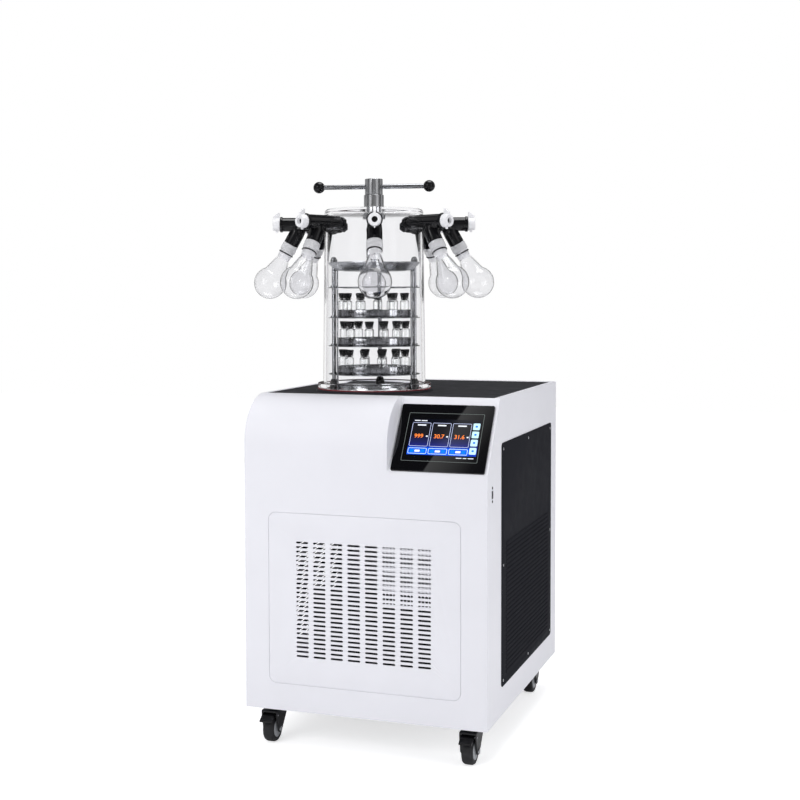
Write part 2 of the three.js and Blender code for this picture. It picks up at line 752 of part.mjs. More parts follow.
// The tube to the pump: a collar against the well, and the clamped flange behind the back.
function vacuumTube() {
  const z = VACUUM_HEIGHT;
  const seat = TRAP_BORE + TRAP_WALL + SEAT_GAP;
  const end = CASING_DEPTH + VACUUM_REACH - CHAMBER_Y;
  return cut(
    join(
      alongY(0, z, VACUUM_TUBE, TRAP_BORE - TRAP_WALL, end - 2, 12),
      alongY(0, z, VACUUM_COLLAR, seat, seat + 3, 12),
      alongY(0, z, VACUUM_FLANGE, end - 4, end, 16),
    ),
    alongY(0, z, VACUUM_BORE, TRAP_BORE - 10, end + 1, 12),
  );
}

function bellJar() {
  const crown = TOP + BELL_HEIGHT;
  const flangeTop = BELL_BASE + BELL_FLANGE_THICKNESS;
  const hole = boreFor(COLLAR_SHANK, SEAT_GAP, CHAMBER_SIDES);
  const wallAt = BELL_HEAD_RADIUS - BELL_WALL;
  const jar = turned([
    [hole, crown], [BELL_HEAD_RADIUS - 12, crown], [BELL_HEAD_RADIUS - 3, crown - 5],
    [BELL_HEAD_RADIUS, crown - 16], [BELL_FOOT_RADIUS, flangeTop + 5], [BELL_FLANGE, flangeTop],
    [BELL_FLANGE, BELL_BASE], [BELL_FOOT_RADIUS - BELL_WALL, BELL_BASE],
    [wallAt, crown - BELL_CROWN - 9], [wallAt - 9, crown - BELL_CROWN],
    [hole, crown - BELL_CROWN],
  ], CHAMBER_SIDES);
  const port = boreFor(SPIGOT_RADIUS, SEAT_GAP, VALVE_SIDES);
  const ports = valveAngles().map((angle) => solid(
    cylinderGeometry(port, wallAt - 20, BELL_FOOT_RADIUS + 20, VALVE_SIDES)
      .rotateY(Math.PI / 2)
      .rotateZ(angle)
      .translate(0, 0, TOP + VALVE_HEIGHT),
  ));
  return cut(jar, ...ports);
}

function valveAngles() {
  return Array.from({ length: VALVES }, (_, i) => radians(FIRST_VALVE + (360 / VALVES) * i));
}

add('cold_trap', coldTrap(), steel, chamber);
add('vacuum_tube', vacuumTube(), steel, chamber);
add('seat_ring', turned([
  [TRAP_FLANGE + SEAT_GAP, TOP], [SEAT_RADIUS, TOP],
  [SEAT_RADIUS, SEAT_TOP], [TRAP_FLANGE + SEAT_GAP, SEAT_TOP],
], CHAMBER_SIDES), blackPaint, chamber);
add('base_gasket', turned([
  [GASKET_INNER, SEAT_TOP], [GASKET_OUTER, SEAT_TOP],
  [GASKET_OUTER, BELL_BASE], [GASKET_INNER, BELL_BASE],
], CHAMBER_SIDES), redRubber, chamber);
add('bell_jar', bellJar(), acrylic, chamber);

// ---------------------------------------------------------------- screw press

const crownTop = TOP + BELL_HEIGHT;
const collarTop = crownTop + SEAT_GAP + COLLAR_HEIGHT;
const hubFoot = collarTop + SEAT_GAP;
const hubTop = hubFoot + HUB_HEIGHT;
const barHeight = hubFoot + BAR_RISE;

// A collar clamped to the crown by the locknut under it; the screw runs down its bore.
function pressCollar() {
  const bore = boreFor(ROD_RADIUS, RUNNING_GAP, SCREW_SIDES);
  const nutTop = crownTop - BELL_CROWN - SEAT_GAP;
  return turned([
    [bore, collarTop], [COLLAR_RADIUS, collarTop], [COLLAR_RADIUS, crownTop + SEAT_GAP],
    [COLLAR_SHANK, crownTop + SEAT_GAP], [COLLAR_SHANK, nutTop], [LOCKNUT_RADIUS, nutTop],
    [LOCKNUT_RADIUS, nutTop - LOCKNUT_THICKNESS], [bore, nutTop - LOCKNUT_THICKNESS],
  ], SCREW_SIDES);
}

function alongBar(radius, low, high) {
  return solid(cylinderGeometry(radius, low, high, BAR_SIDES)
    .rotateY(Math.PI / 2)
    .translate(0, 0, barHeight));
}

function pressHub() {
  const bore = boreFor(ROD_RADIUS, RUNNING_GAP, SCREW_SIDES);
  const barBore = boreFor(BAR_RADIUS, SEAT_GAP, BAR_SIDES);
  const chamfer = 1.5;
  const body = turned([
    [bore, hubFoot], [HUB_RADIUS, hubFoot], [HUB_RADIUS, hubTop - chamfer],
    [HUB_RADIUS - chamfer, hubTop], [0, hubTop], [0, hubTop - HUB_ROOF], [bore, hubTop - HUB_ROOF],
  ], SCREW_SIDES);
  return cut(body, alongBar(barBore, -HUB_RADIUS - 5, HUB_RADIUS + 5));
}

// The cross bar with a ball moulded on each end.
function handleBar() {
  const balls = [-1, 1].map((side) => solid(new THREE.SphereGeometry(BALL_RADIUS, 12, 6)
    .rotateZ(Math.PI / 2)
    .translate((side * BALL_SPAN) / 2, 0, barHeight)));
  return join(alongBar(BAR_RADIUS, -BALL_SPAN / 2, BALL_SPAN / 2), ...balls);
}

const handle = new THREE.Group();
handle.rotation.z = radians(BAR_TURN);
chamber.add(handle);
add('press_collar', pressCollar(), steel, chamber);
add('press_hub', pressHub(), steel, handle);
add('handle_bar', handleBar(), steel, handle);

// ---------------------------------------------------------------- rack, trays and pressing dish

const rack = new THREE.Group();
rack.rotation.z = radians(RACK_TURN);
chamber.add(rack);
const posts = [[-POST_CIRCLE, 0], [POST_CIRCLE, 0], [REAR_POST_OFFSET, POST_CIRCLE]];
const dishTop = TOP + PRESS_FLOOR + PRESS_DEPTH;

function rackFrame() {
  const shelves = SHELF_HEIGHTS.map((height) => upright(
    0, 0, SHELF_RADIUS, TOP + height - SHELF_THICKNESS, TOP + height, CHAMBER_SIDES,
  ));
  const legs = posts.map(([x, y]) => join(
    upright(x, y, FOOT_RADIUS, SEAT_TOP, SEAT_TOP + FOOT_HEIGHT, 10),
    upright(x, y, POST_RADIUS, SEAT_TOP + FOOT_HEIGHT / 2, TOP + CAPNUT_TOP - 2, POST_SIDES),
    upright(x, y, CAPNUT_RADIUS, TOP + POST_TOP, TOP + CAPNUT_TOP, 6),
  ));
  return join(...shelves, ...legs);
}

function tray() {
  return turned([
    [0, 0], [TRAY_RADIUS - 1, 0], [TRAY_RADIUS, TRAY_HEIGHT], [TRAY_RADIUS - TRAY_WALL, TRAY_HEIGHT],
    [TRAY_RADIUS - 1 - TRAY_WALL, TRAY_WALL], [0, TRAY_WALL],
  ], CHAMBER_SIDES);
}

// A dish with a flared rim that rides on the posts; a boss in its middle holds the screw's foot.
function pressPlate() {
  const floor = TOP + PRESS_FLOOR;
  const rodSocket = boreFor(ROD_RADIUS, SEAT_GAP, SCREW_SIDES);
  const dish = turned([
    [0, floor], [PRESS_FLOOR_RADIUS, floor], [PRESS_RIM_RADIUS, dishTop - 2],
    [PRESS_RIM_RADIUS, dishTop], [PRESS_RIM_RADIUS - PRESS_WALL, dishTop],
    [PRESS_FLOOR_RADIUS - PRESS_WALL / 2, floor + PRESS_WALL], [0, floor + PRESS_WALL],
  ], CHAMBER_SIDES);
  const boss = cut(
    upright(0, 0, PRESS_BOSS, floor + 1, floor + 15, SCREW_SIDES),
    upright(0, 0, rodSocket, floor + PRESS_WALL, floor + 16, SCREW_SIDES),
  );
  const holes = posts.map(([x, y]) => upright(
    x, y, boreFor(POST_RADIUS, RUNNING_GAP, POST_SIDES), floor - 5, dishTop + 5, POST_SIDES,
  ));
  return cut(join(dish, boss), ...holes);
}

add('rack_frame', rackFrame(), steel, rack);
for (let i = 0; i < TRAY_COUNT; i += 1) {
  add(`tray_${i + 1}`, tray(), steel, rack).position.z = TOP + SHELF_HEIGHTS[i] + SEAT_GAP;
}
add('press_plate', pressPlate(), steel, rack);
add('press_rod', upright(
  0, 0, ROD_RADIUS, TOP + PRESS_FLOOR + PRESS_WALL + SEAT_GAP, barHeight - ROD_DROP, SCREW_SIDES,
), steel, rack);

// ---------------------------------------------------------------- flask valves

const wallOutside = BELL_HEAD_RADIUS + 0.7; // the bell's tapered wall at the valves' lower edge
const innerFlat = (BELL_HEAD_RADIUS - BELL_WALL) * Math.cos(Math.PI / CHAMBER_SIDES);
const nutFace = innerFlat - 0.435; // clear of the facets inside the wall

// Geometry made along Z is laid along the valve's own X, or down its branch.
function outward(geometry) {
  return solid(geometry.rotateY(Math.PI / 2));
}

function downBranch(geometry) {
  return geometry
    .rotateY(Math.PI - radians(BRANCH_TILT))
    .translate(BRANCH_START, 0, 0);
}

function valveBody() {
  const flange = BARREL_END - BARREL_FLANGE_THICKNESS;
  const plugBore = boreFor(PLUG_RADIUS, RUNNING_GAP, VALVE_SIDES);
  const plugEnd = BARREL_END - PLUG_DEPTH - RUNNING_GAP;
  const barrel = outward(turnedGeometry([
    [0, nutFace - SPIGOT_NUT_THICKNESS], [SPIGOT_NUT, nutFace - SPIGOT_NUT_THICKNESS],
    [SPIGOT_NUT, nutFace], [SPIGOT_RADIUS, nutFace], [SPIGOT_RADIUS, wallOutside],
    [BARREL_RADIUS, wallOutside], [BARREL_RADIUS, flange], [BARREL_FLANGE, flange],
    [BARREL_FLANGE, BARREL_END], [plugBore, BARREL_END], [plugBore, plugEnd], [0, plugEnd],
  ], VALVE_SIDES));
  const branch = solid(downBranch(turnedGeometry([
    [0, PLUG_RADIUS + 4], [BRANCH_RADIUS, PLUG_RADIUS + 4], [BRANCH_RADIUS, BRANCH_END],
    [NOZZLE_RADIUS, BRANCH_END], [NOZZLE_RADIUS, NOZZLE_END], [0, NOZZLE_END],
  ], VALVE_SIDES)));
  return join(barrel, branch);
}

// The stopcock: a plug in the barrel's bore, a drilled knob, a lever on top and a pointer below.
function valveKnob() {
  const face = BARREL_END + SEAT_GAP;
  const end = face + KNOB_LENGTH;
  const knob = outward(turnedGeometry([
    [0, BARREL_END - PLUG_DEPTH], [PLUG_RADIUS, BARREL_END - PLUG_DEPTH], [PLUG_RADIUS, face],
    [KNOB_RADIUS, face], [KNOB_END_RADIUS, end], [KNOB_RECESS, end],
    [KNOB_RECESS, end - 8], [0, end - 8],
  ], VALVE_SIDES));
  const lever = slabXZ(polygon([
    [face + 0.5, KNOB_RADIUS - 4], [end - 1, KNOB_RADIUS - 4], [end - 1, LEVER_TOP - 10],
    [face + 4, LEVER_TOP], [face + 0.5, LEVER_TOP - 1],
  ]), -LEVER_WIDTH / 2, LEVER_WIDTH / 2);
  const pointer = slabYZ(polygon([
    [-2.6, -KNOB_RADIUS + 3], [-0.6, -POINTER_FOOT], [0.6, -POINTER_FOOT], [2.6, -KNOB_RADIUS + 3],
  ]), face + 5, face + 11);
  return join(knob, lever, pointer);
}

// A blown flask in its coupling collar, pushed over the valve's nozzle.
function flask() {
  const start = BRANCH_END + SEAT_GAP;
  const bore = boreFor(NOZZLE_RADIUS, SEAT_GAP, FLASK_SIDES);
  const bulb = (wall) => [-48, -24, 0, 24, 48].map((degrees) => [
    (BULB_RADIUS - wall) * Math.cos(radians(degrees)),
    BULB_CENTRE + (FLASK_END - BULB_CENTRE - wall) * Math.sin(radians(degrees)),
  ]);
  return solid(downBranch(turnedGeometry([
    [bore, start], [COUPLING_RADIUS, start], [COUPLING_RADIUS, COUPLING_BAND],
    [COUPLING_FOOT_RADIUS, COUPLING_BAND + 2], [COUPLING_FOOT_RADIUS, COUPLING_END],
    [NECK_RADIUS, COUPLING_END + 1], [NECK_RADIUS, NECK_END], ...bulb(0), [0, FLASK_END],
    [0, FLASK_END - FLASK_WALL], ...bulb(FLASK_WALL).reverse(), [bore, NECK_END],
  ], FLASK_SIDES).rotateZ(Math.PI / FLASK_SIDES)));
}

const bodyShape = geometryOf(valveBody());
const knobShape = geometryOf(valveKnob());
const flaskShape = geometryOf(flask());
valveAngles().forEach((angle, i) => {
  const port = new THREE.Group();
  port.position.z = TOP + VALVE_HEIGHT;
  port.rotation.z = angle;
  chamber.add(port);
  add(`valve_body_${i + 1}`, bodyShape, blackPlastic, port);
  add(`valve_knob_${i + 1}`, knobShape, whitePlastic, port);
  add(`flask_${i + 1}`, flaskShape, glass, port);
});

// ---------------------------------------------------------------- casters

const forkHalf = FORK_INSIDE / 2 + FORK_WALL;

// Cheeks that narrow to the axle under a broad hood, a swivel race on top, and the axle.
function casterFork(braked) {
  const cheek = polygon([
    [-42, forkWebTop], [24, forkWebTop], [24, forkWebTop - 14], [-12, WHEEL_RADIUS - 6],
    [-18, WHEEL_RADIUS - 9], [-26, WHEEL_RADIUS - 9], [-32, WHEEL_RADIUS - 4],
    [-41, forkWebTop - 16],
  ]);
  const slot = box(
    [-FORK_INSIDE / 2, -60, 0],
    [FORK_INSIDE / 2, 60, forkWebLow],
  );
  const mouth = box([-FORK_INSIDE / 2, -60, forkWebLow - 1], [FORK_INSIDE / 2, -30, forkWebTop + 1]);
  const hood = cut(slabYZ(cheek, -forkHalf, forkHalf), slot, ...(braked ? [mouth] : []));
  const body = cut(
    join(hood, upright(0, 0, SWIVEL_RADIUS, forkWebTop - 1, forkTop, 12)),
    upright(0, 0, boreFor(KINGPIN_RADIUS, RUNNING_GAP, 8), forkWebLow - 2, forkTop + 2, 8),
  );
  const axle = alongX(-CASTER_TRAIL, WHEEL_RADIUS, AXLE_RADIUS, -forkHalf - 2.5, forkHalf + 2.5, 8);
  const pin = alongX(PEDAL_PIVOT_Y, PEDAL_PIVOT_Z, PEDAL_PIN, -forkHalf - 1, forkHalf + 1, 6);
  return braked ? join(body, axle, pin) : join(body, axle);
}

// The tyre's flats, not its corners, touch the floor at the wheel's true radius.
function casterWheel() {
  const tread = WHEEL_RADIUS / Math.cos(Math.PI / WHEEL_SIDES);
  const half = WHEEL_WIDTH / 2;
  const boss = half + 2.5;
  const bore = boreFor(AXLE_RADIUS, RUNNING_GAP, WHEEL_SIDES);
  const wheel = turnedGeometry([
    [bore, -boss], [WHEEL_HUB, -boss], [tread - 3.5, -half], [tread, -half + 3.5],
    [tread, half - 3.5], [tread - 3.5, half], [WHEEL_HUB, boss], [bore, boss],
  ], WHEEL_SIDES);
  return solid(wheel.rotateZ(Math.PI / 2 + Math.PI / WHEEL_SIDES).rotateY(Math.PI / 2)
    .translate(0, -CASTER_TRAIL, WHEEL_RADIUS));
}

// A brake pedal hinged on a pin between the cheeks.
function brakePedal() {
  const half = PEDAL_WIDTH / 2;
  const blade = polygon([
    [PEDAL_PIVOT_Y, PEDAL_PIVOT_Z + PEDAL_HUB - 0.4], [PEDAL_PIVOT_Y - 14, PEDAL_PIVOT_Z + 1.5],
    [PEDAL_PIVOT_Y - 28, PEDAL_PIVOT_Z - 8], [PEDAL_PIVOT_Y - 29, PEDAL_PIVOT_Z - 11],
    [PEDAL_PIVOT_Y - 26, PEDAL_PIVOT_Z - 11.5], [PEDAL_PIVOT_Y - 13, PEDAL_PIVOT_Z - 3],
    [PEDAL_PIVOT_Y, PEDAL_PIVOT_Z - PEDAL_HUB + 1],
  ]);
  return cut(
    join(
      slabYZ(blade, -half, half),
      alongX(PEDAL_PIVOT_Y, PEDAL_PIVOT_Z, PEDAL_HUB, -half, half, 10),
    ),
    alongX(PEDAL_PIVOT_Y, PEDAL_PIVOT_Z, boreFor(PEDAL_PIN, RUNNING_GAP, 6), -half - 1, half + 1, 6),
  );
}

const forkShapes = { true: geometryOf(casterFork(true)), false: geometryOf(casterFork(false)) };
const wheelShape = geometryOf(casterWheel());
const pedalShape = geometryOf(brakePedal());
for (const { name, x, y } of casters) {
  const caster = new THREE.Group();
  caster.position.set(x, y, 0);
  machine.add(caster);
  const braked = name.startsWith('front');
  add(`caster_fork_${name}`, forkShapes[braked], blackPlastic, caster);
  add(`caster_wheel_${name}`, wheelShape, blackRubber, caster);
  if (braked) add(`brake_pedal_${name}`, pedalShape, blackPlastic, caster);
}

// ---------------------------------------------------------------- refrigeration

const panFloor = BASE + PAN_WALL;

// A welded hermetic shell on its foot plate.
function compressor() {
  const r = COMPRESSOR_RADIUS;
  const low = panFloor + 14;
  const high = low + COMPRESSOR_HEIGHT;
  const shell = turned([
    [0, low], [r * 0.72, low], [r * 0.97, low + 22], [r, low + 45], [r, high - 60],
    [r * 0.9, high - 26], [r * 0.58, high - 6], [0, high],
  ], 14);
  const plate = box([-r - 12, -r - 12, panFloor + 10], [r + 12, r + 12, low + 4]);
  const mounts = [-1, 1].flatMap((sx) => [-1, 1].map((sy) => upright(
    sx * r, sy * r, 11, panFloor, panFloor + 11, 8,
  )));
  return join(shell, plate, ...mounts);
}

const condenserX = CASING_WIDTH / 2;
const condenserFoot = panFloor;
const condenserBack = CONDENSER_BACKSET + CONDENSER_DEPTH;
const fanZ = condenserFoot + CONDENSER_HEIGHT / 2;
const fanFront = condenserBack + 8;
const motorFront = fanFront + FAN_DEPTH + RUNNING_GAP;

// A finned block with the fan's shroud behind it; three arms carry the motor and its shaft.
function condenser() {
  const half = CONDENSER_WIDTH / 2;
  const top = condenserFoot + CONDENSER_HEIGHT;
  const finPitch = (CONDENSER_WIDTH - 24) / CONDENSER_FINS;
  const gaps = Array.from({ length: CONDENSER_FINS }, (_, i) => {
    const x = condenserX - half + 12 + finPitch * (i + 0.5);
    return box(
      [x - finPitch * 0.32, CONDENSER_BACKSET - 1, condenserFoot + 12],
      [x + finPitch * 0.32, condenserBack - 8, top - 12],
    );
  });
  const block = cut(
    box([condenserX - half, CONDENSER_BACKSET, condenserFoot], [condenserX + half, condenserBack, top]),
    ...gaps,
    alongY(condenserX, fanZ, FAN_RADIUS * 0.9, condenserBack - 10, condenserBack + 1, 16),
  );
  const shroudBack = motorFront + 6;
  const rim = FAN_RADIUS + 6;
  const shroud = cut(
    alongY(condenserX, fanZ, rim + 3, condenserBack - 1, shroudBack, 16),
    alongY(condenserX, fanZ, rim, condenserBack - 2, shroudBack + 1, 16),
  );
  const arms = [90, 210, 330].map((angle) => {
    const arm = new THREE.BoxGeometry(rim + 1, 4, 8).translate((rim + 1) / 2, 0, 0)
      .rotateY(radians(angle))
      .translate(condenserX, motorFront + 4, fanZ);
    return solid(arm);
  });
  const motor = alongY(condenserX, fanZ, MOTOR_RADIUS, motorFront, motorFront + MOTOR_LENGTH, 12);
  const shaft = alongY(condenserX, fanZ, SHAFT_RADIUS, fanFront - 4, motorFront + 1, 8);
  return join(block, shroud, ...arms, motor, shaft);
}

function condenserFan() {
  const hub = alongY(0, 0, FAN_HUB, 0, FAN_DEPTH, 12);
  const blades = Array.from({ length: FAN_BLADES }, (_, i) => {
    const reach = FAN_RADIUS - FAN_HUB + 4;
    const blade = new THREE.BoxGeometry(reach, 2, 46)
      .rotateX(radians(18))
      .translate(FAN_HUB - 4 + reach / 2, FAN_DEPTH / 2, 0)
      .rotateY((i / FAN_BLADES) * Math.PI * 2);
    return solid(blade);
  });
  return cut(
    join(hub, ...blades),
    alongY(0, 0, boreFor(SHAFT_RADIUS, RUNNING_GAP, 8), -1, FAN_DEPTH + 1, 8),
  );
}

add('compressor', compressor(), blackPaint).position.set(COMPRESSOR_X, COMPRESSOR_Y, 0);
add('condenser', condenser(), darkSteel);
add('condenser_fan', condenserFan(), blackPlastic).position.set(condenserX, fanFront, fanZ);

// ---------------------------------------------------------------- origin at the foot's centre

const freezeDryer = new THREE.Group();
freezeDryer.add(machine);
freezeDryer.updateMatrixWorld(true);
const extent = new THREE.Box3().setFromObject(machine, true);
const middle = extent.getCenter(new THREE.Vector3());
machine.position.set(-middle.x, -middle.y, -extent.min.z);

export default freezeDryer;
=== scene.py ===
"""A laboratory freeze dryer: its looks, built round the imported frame."""
import math

import bmesh
import bpy
import numpy as np
from mathutils import Matrix, Vector


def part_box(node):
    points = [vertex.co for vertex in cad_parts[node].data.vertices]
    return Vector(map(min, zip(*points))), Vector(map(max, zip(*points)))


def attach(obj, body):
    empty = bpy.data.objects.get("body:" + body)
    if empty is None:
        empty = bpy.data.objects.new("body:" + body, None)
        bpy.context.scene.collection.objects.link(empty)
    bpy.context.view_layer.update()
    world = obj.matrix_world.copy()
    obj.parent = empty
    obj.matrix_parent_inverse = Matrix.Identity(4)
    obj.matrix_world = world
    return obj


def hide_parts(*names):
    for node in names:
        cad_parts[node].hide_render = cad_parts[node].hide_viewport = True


MM = 0.001
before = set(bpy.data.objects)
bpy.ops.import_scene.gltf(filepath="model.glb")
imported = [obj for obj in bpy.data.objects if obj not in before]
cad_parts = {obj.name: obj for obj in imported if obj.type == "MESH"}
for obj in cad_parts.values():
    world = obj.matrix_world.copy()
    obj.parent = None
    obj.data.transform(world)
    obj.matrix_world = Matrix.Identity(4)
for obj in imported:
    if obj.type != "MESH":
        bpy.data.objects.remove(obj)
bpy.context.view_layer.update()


# ---- places, in millimetres

def corners(node):
    """The lowest and highest corners of a CAD node."""
    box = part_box(node)
    return np.array(box[0]) / MM, np.array(box[1]) / MM


cover_low, cover_high = corners("front_cover")
bell_low, bell_high = corners("bell_jar")
LEFT, FRONT, BASE = cover_low
RIGHT, TOP = cover_high[0], cover_high[2]
BACK = corners("housing_wrap")[1][1]
AXIS = (bell_low + bell_high)[:2] / 2
CHAMBER = Matrix.Translation((AXIS[0] * MM, AXIS[1] * MM, TOP * MM))
TUBE_HEIGHT = 640  # the vacuum tube's middle


# ---- shapes

def linked(name, data):
    obj = bpy.data.objects.new(name, data)
    bpy.context.scene.collection.objects.link(obj)
    return obj


def adopt(mesh, name, *materials):
    for material in materials:
        if material is not None:
            mesh.materials.append(material)
    return linked(name, mesh)


def cleaned(mesh, distance, edit):
    """Weld the points of a mesh that lie within a distance in metres, then edit it."""
    work = bmesh.new()
    work.from_mesh(mesh)
    bmesh.ops.remove_doubles(work, verts=work.verts, dist=distance)
    edit(work)
    work.to_mesh(mesh)
    work.free()


def turn_outwards(work):
    bmesh.ops.recalc_face_normals(work, faces=work.faces)
    if work.calc_volume(signed=True) < 0:
        bmesh.ops.reverse_faces(work, faces=work.faces)


def solid(name, points, faces, material=None):
    """A closed mesh from points in millimetres."""
    mesh = bpy.data.meshes.new(name)
    mesh.from_pydata([[c * MM for c in p] for p in points], [], faces)
    cleaned(mesh, 1e-7, turn_outwards)
    return adopt(mesh, name, material)


def filleted(corner_list, steps=4, closed=True):
    """An outline whose corners, given as (x, y, radius), become arcs."""
    count = len(corner_list)
    outline = []
    for i, corner in enumerate(corner_list):
        radius = corner[2] if len(corner) > 2 else 0
        here = Vector(corner[:2])
        if radius <= 0 or (not closed and i in (0, count - 1)):
            outline.append(tuple(here))
            continue
        before = Vector(corner_list[i - 1][:2]) - here
        after = Vector(corner_list[(i + 1) % count][:2]) - here
        half = before.angle(after) / 2
        reach = min(radius / math.tan(half), 0.49 * before.length, 0.49 * after.length)
        start = here + before.normalized() * reach
        end = here + after.normalized() * reach
        for k in range(steps + 1):
            s = k / steps
            a, b, c = (1 - s) ** 2, 2 * s * (1 - s) * math.sin(half), s * s
            outline.append(tuple((start * a + here * b + end * c) / (a + b + c)))
    return outline


def turned(name, profile, material=None, sides=96, steps=4):
    """A profile of (radius, height, fillet) corners turned round Z. Off the axis it is a ring."""
    on_axis = profile[0][0] == 0 and profile[-1][0] == 0
    points, rings = [], []
    for r, z in filleted(profile, steps, closed=not on_axis):
        if r < 1e-9:
            rings.append([len(points)] * sides)
            points.append((0, 0, z))
            continue
        rings.append(list(range(len(points), len(points) + sides)))
        for k in range(sides):
            a = 2 * math.pi * k / sides
            points.append((r * math.cos(a), r * math.sin(a), z))
    pairs = list(zip(rings, rings[1:]))
    if not on_axis:
        pairs.append((rings[-1], rings[0]))
    faces = []
    for a, b in pairs:
        for k in range(sides):
            n = (k + 1) % sides
            face = [a[k], a[n], b[n], b[k]]
            face = [v for j, v in enumerate(face) if v != face[j - 1]]
            if len(face) > 2:
                faces.append(face)
    return solid(name, points, faces, material)


def rod(name, radius, low, high, material=None, sides=96, edge=0):
    """A round bar along Z."""
    profile = [(0, low), (radius, low, edge), (radius, high, edge), (0, high)]
    return turned(name, profile, material, sides)


def loft(name, sections, material=None):
    """A closed skin through sections at rising X, each a list of as many (y, z) points."""
    count = len(sections[0][1])
    points = [(x, y, z) for x, outline in sections for y, z in outline]
    faces = [list(range(count)), list(range(len(points) - count, len(points)))]
    for a in range(0, len(points) - count, count):
        b = a + count
        for i in range(count):
            n = (i + 1) % count
            faces.append([a + i, b + i, b + n, a + n])
    return solid(name, points, faces, material)


def prism(name, outline, low, high, material=None):
    """An outline in X and Y between two heights."""
    count = len(outline)
    points = [(x, y, low) for x, y in outline] + [(x, y, high) for x, y in outline]
    faces = [list(range(count))[::-1], list(range(count, 2 * count))]
    faces += [[i, (i + 1) % count, count + (i + 1) % count, count + i] for i in range(count)]
    return solid(name, points, faces, material)


def rectangle(x0, y0, x1, y1, radius=0, steps=6):
    return filleted([(x0, y0, radius), (x1, y0, radius), (x1, y1, radius), (x0, y1, radius)], steps)


def polygon(x, y, radius, sides):
    angles = [2 * math.pi * k / sides for k in range(sides)]
    return [(x + radius * math.cos(a), y + radius * math.sin(a)) for a in angles]


def block(name, low, high, material=None, radius=0, steps=3):
    """A box, its upright edges rounded by a radius."""
    outline = rectangle(low[0], low[1], high[0], high[1], radius, steps)
    return prism(name, outline, low[2], high[2], material)


def turn(axis, degrees):
    return Matrix.Rotation(math.radians(degrees), 4, axis)


def shift(x, y, z):
    return Matrix.Translation((x * MM, y * MM, z * MM))


def moved(obj, *matrices):
    """The mesh moved by some matrices, the first one first."""
    for matrix in matrices:
        obj.data.transform(matrix)
    if matrices and math.prod(m.determinant() for m in matrices) < 0:
        obj.data.flip_normals()
    return obj


# An outline in X and Y set up to grow along Y (from an XZ drawing) or along X (from a YZ one).
XZ = Matrix(((1, 0, 0, 0), (0, 0, 1, 0), (0, 1, 0, 0), (0, 0, 0, 1)))
YZ = Matrix(((0, 0, 1, 0), (1, 0, 0, 0), (0, 1, 0, 0), (0, 0, 0, 1)))
SWAP = Matrix(((0, 1, 0, 0), (1, 0, 0, 0), (0, 0, 1, 0), (0, 0, 0, 1)))
MIRROR = Matrix.Scale(-1, 4, (1, 0, 0))
ALONG_X = turn("Y", 90)
BACKWARDS = turn("X", -90)


def evaluated(obj):
    """The mesh of a piece with its modifiers, or of a drawn curve."""
    graph = bpy.context.evaluated_depsgraph_get()
    graph.update()
    return bpy.data.meshes.new_from_object(obj.evaluated_get(graph), depsgraph=graph)


def from_curve(name, curve, material):
    draft = linked(name, curve)
    mesh = evaluated(draft)
    bpy.data.objects.remove(draft)
    bpy.data.curves.remove(curve)
    mesh.materials.clear()
    mesh.name = name
    return adopt(mesh, name, material)


def bake(obj):
    """Apply the modifiers of a piece."""
    made, old = evaluated(obj), obj.data
    obj.modifiers.clear()
    obj.data = made
    if old.users == 0:
        bpy.data.meshes.remove(old)
    return obj


def combine(obj, tools, operation="DIFFERENCE"):
    """Cut tools from a piece, or join them to it."""
    for tool in tools:
        modifier = obj.modifiers.new(operation, "BOOLEAN")
        modifier.operation = operation
        modifier.solver = "EXACT"
        modifier.object = tool
    bake(obj)
    for tool in tools:
        bpy.data.objects.remove(tool)
    return obj


def joined(name, pieces):
    """Several pieces as one mesh."""
    work = bmesh.new()
    materials = []
    for piece in pieces:
        mesh = piece.data
        materials += [material for material in mesh.materials if material not in materials]
        start = len(work.faces)
        work.from_mesh(mesh)
        work.faces.ensure_lookup_table()
        for face in work.faces[start:]:
            face.material_index = materials.index(mesh.materials[face.material_index])
        bpy.data.objects.remove(piece)
    mesh = bpy.data.meshes.new(name)
    work.to_mesh(mesh)
    work.free()
    return adopt(mesh, name, *materials)


def copy_of(obj, name):
    mesh = obj.data.copy()
    mesh.name = name
    return linked(name, mesh)


def smooth(obj, angle=35):
    """Smooth shading that keeps edges sharper than an angle."""
    obj.data.shade_smooth()
    obj.data.set_sharp_from_angle(angle=math.radians(angle))
    return obj


def faired(obj, angle=35):
    """Smooth shading in which large flat faces stay flat."""
    smooth(obj, angle)
    normals = obj.modifiers.new("normals", "WEIGHTED_NORMAL")
    normals.keep_sharp = True
    return bake(obj)


def soften(obj, width, segments=3, angle=38, clamp=True):
    """Round the edges of a piece."""
    bevel = obj.modifiers.new("edges", "BEVEL")
    bevel.width = width * MM
    bevel.segments = segments
    bevel.limit_method = "ANGLE"
    bevel.angle_limit = math.radians(angle)
    bevel.use_clamp_overlap = clamp
    return faired(bake(obj))


def cad_copy(node, name, material, *edges):
    """A copy of a CAD node's mesh, its flat faces made whole, and then its edges rounded."""
    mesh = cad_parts[node].data.copy()
    mesh.name = name
    mesh.materials.clear()
    cleaned(mesh, 1e-6, lambda work: bmesh.ops.dissolve_limit(
        work, angle_limit=math.radians(1), verts=work.verts, edges=work.edges
    ))
    for face in mesh.polygons:
        face.material_index = 0
    return soften(adopt(mesh, name, material), *edges)


def place(obj, slot, *nodes, body="root"):
    """Ride a finished piece on a body, in place of some CAD nodes."""
    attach(obj, body)
    if nodes:
        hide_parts(*nodes)
    return obj


def stand(obj, slot, *nodes, body="root", by=(), angle=35):
    """Place a piece that is drawn about the chamber's axis, with the deck at zero."""
    return place(moved(smooth(obj, angle), *by, CHAMBER), slot, *nodes, body=body)


# ---- materials

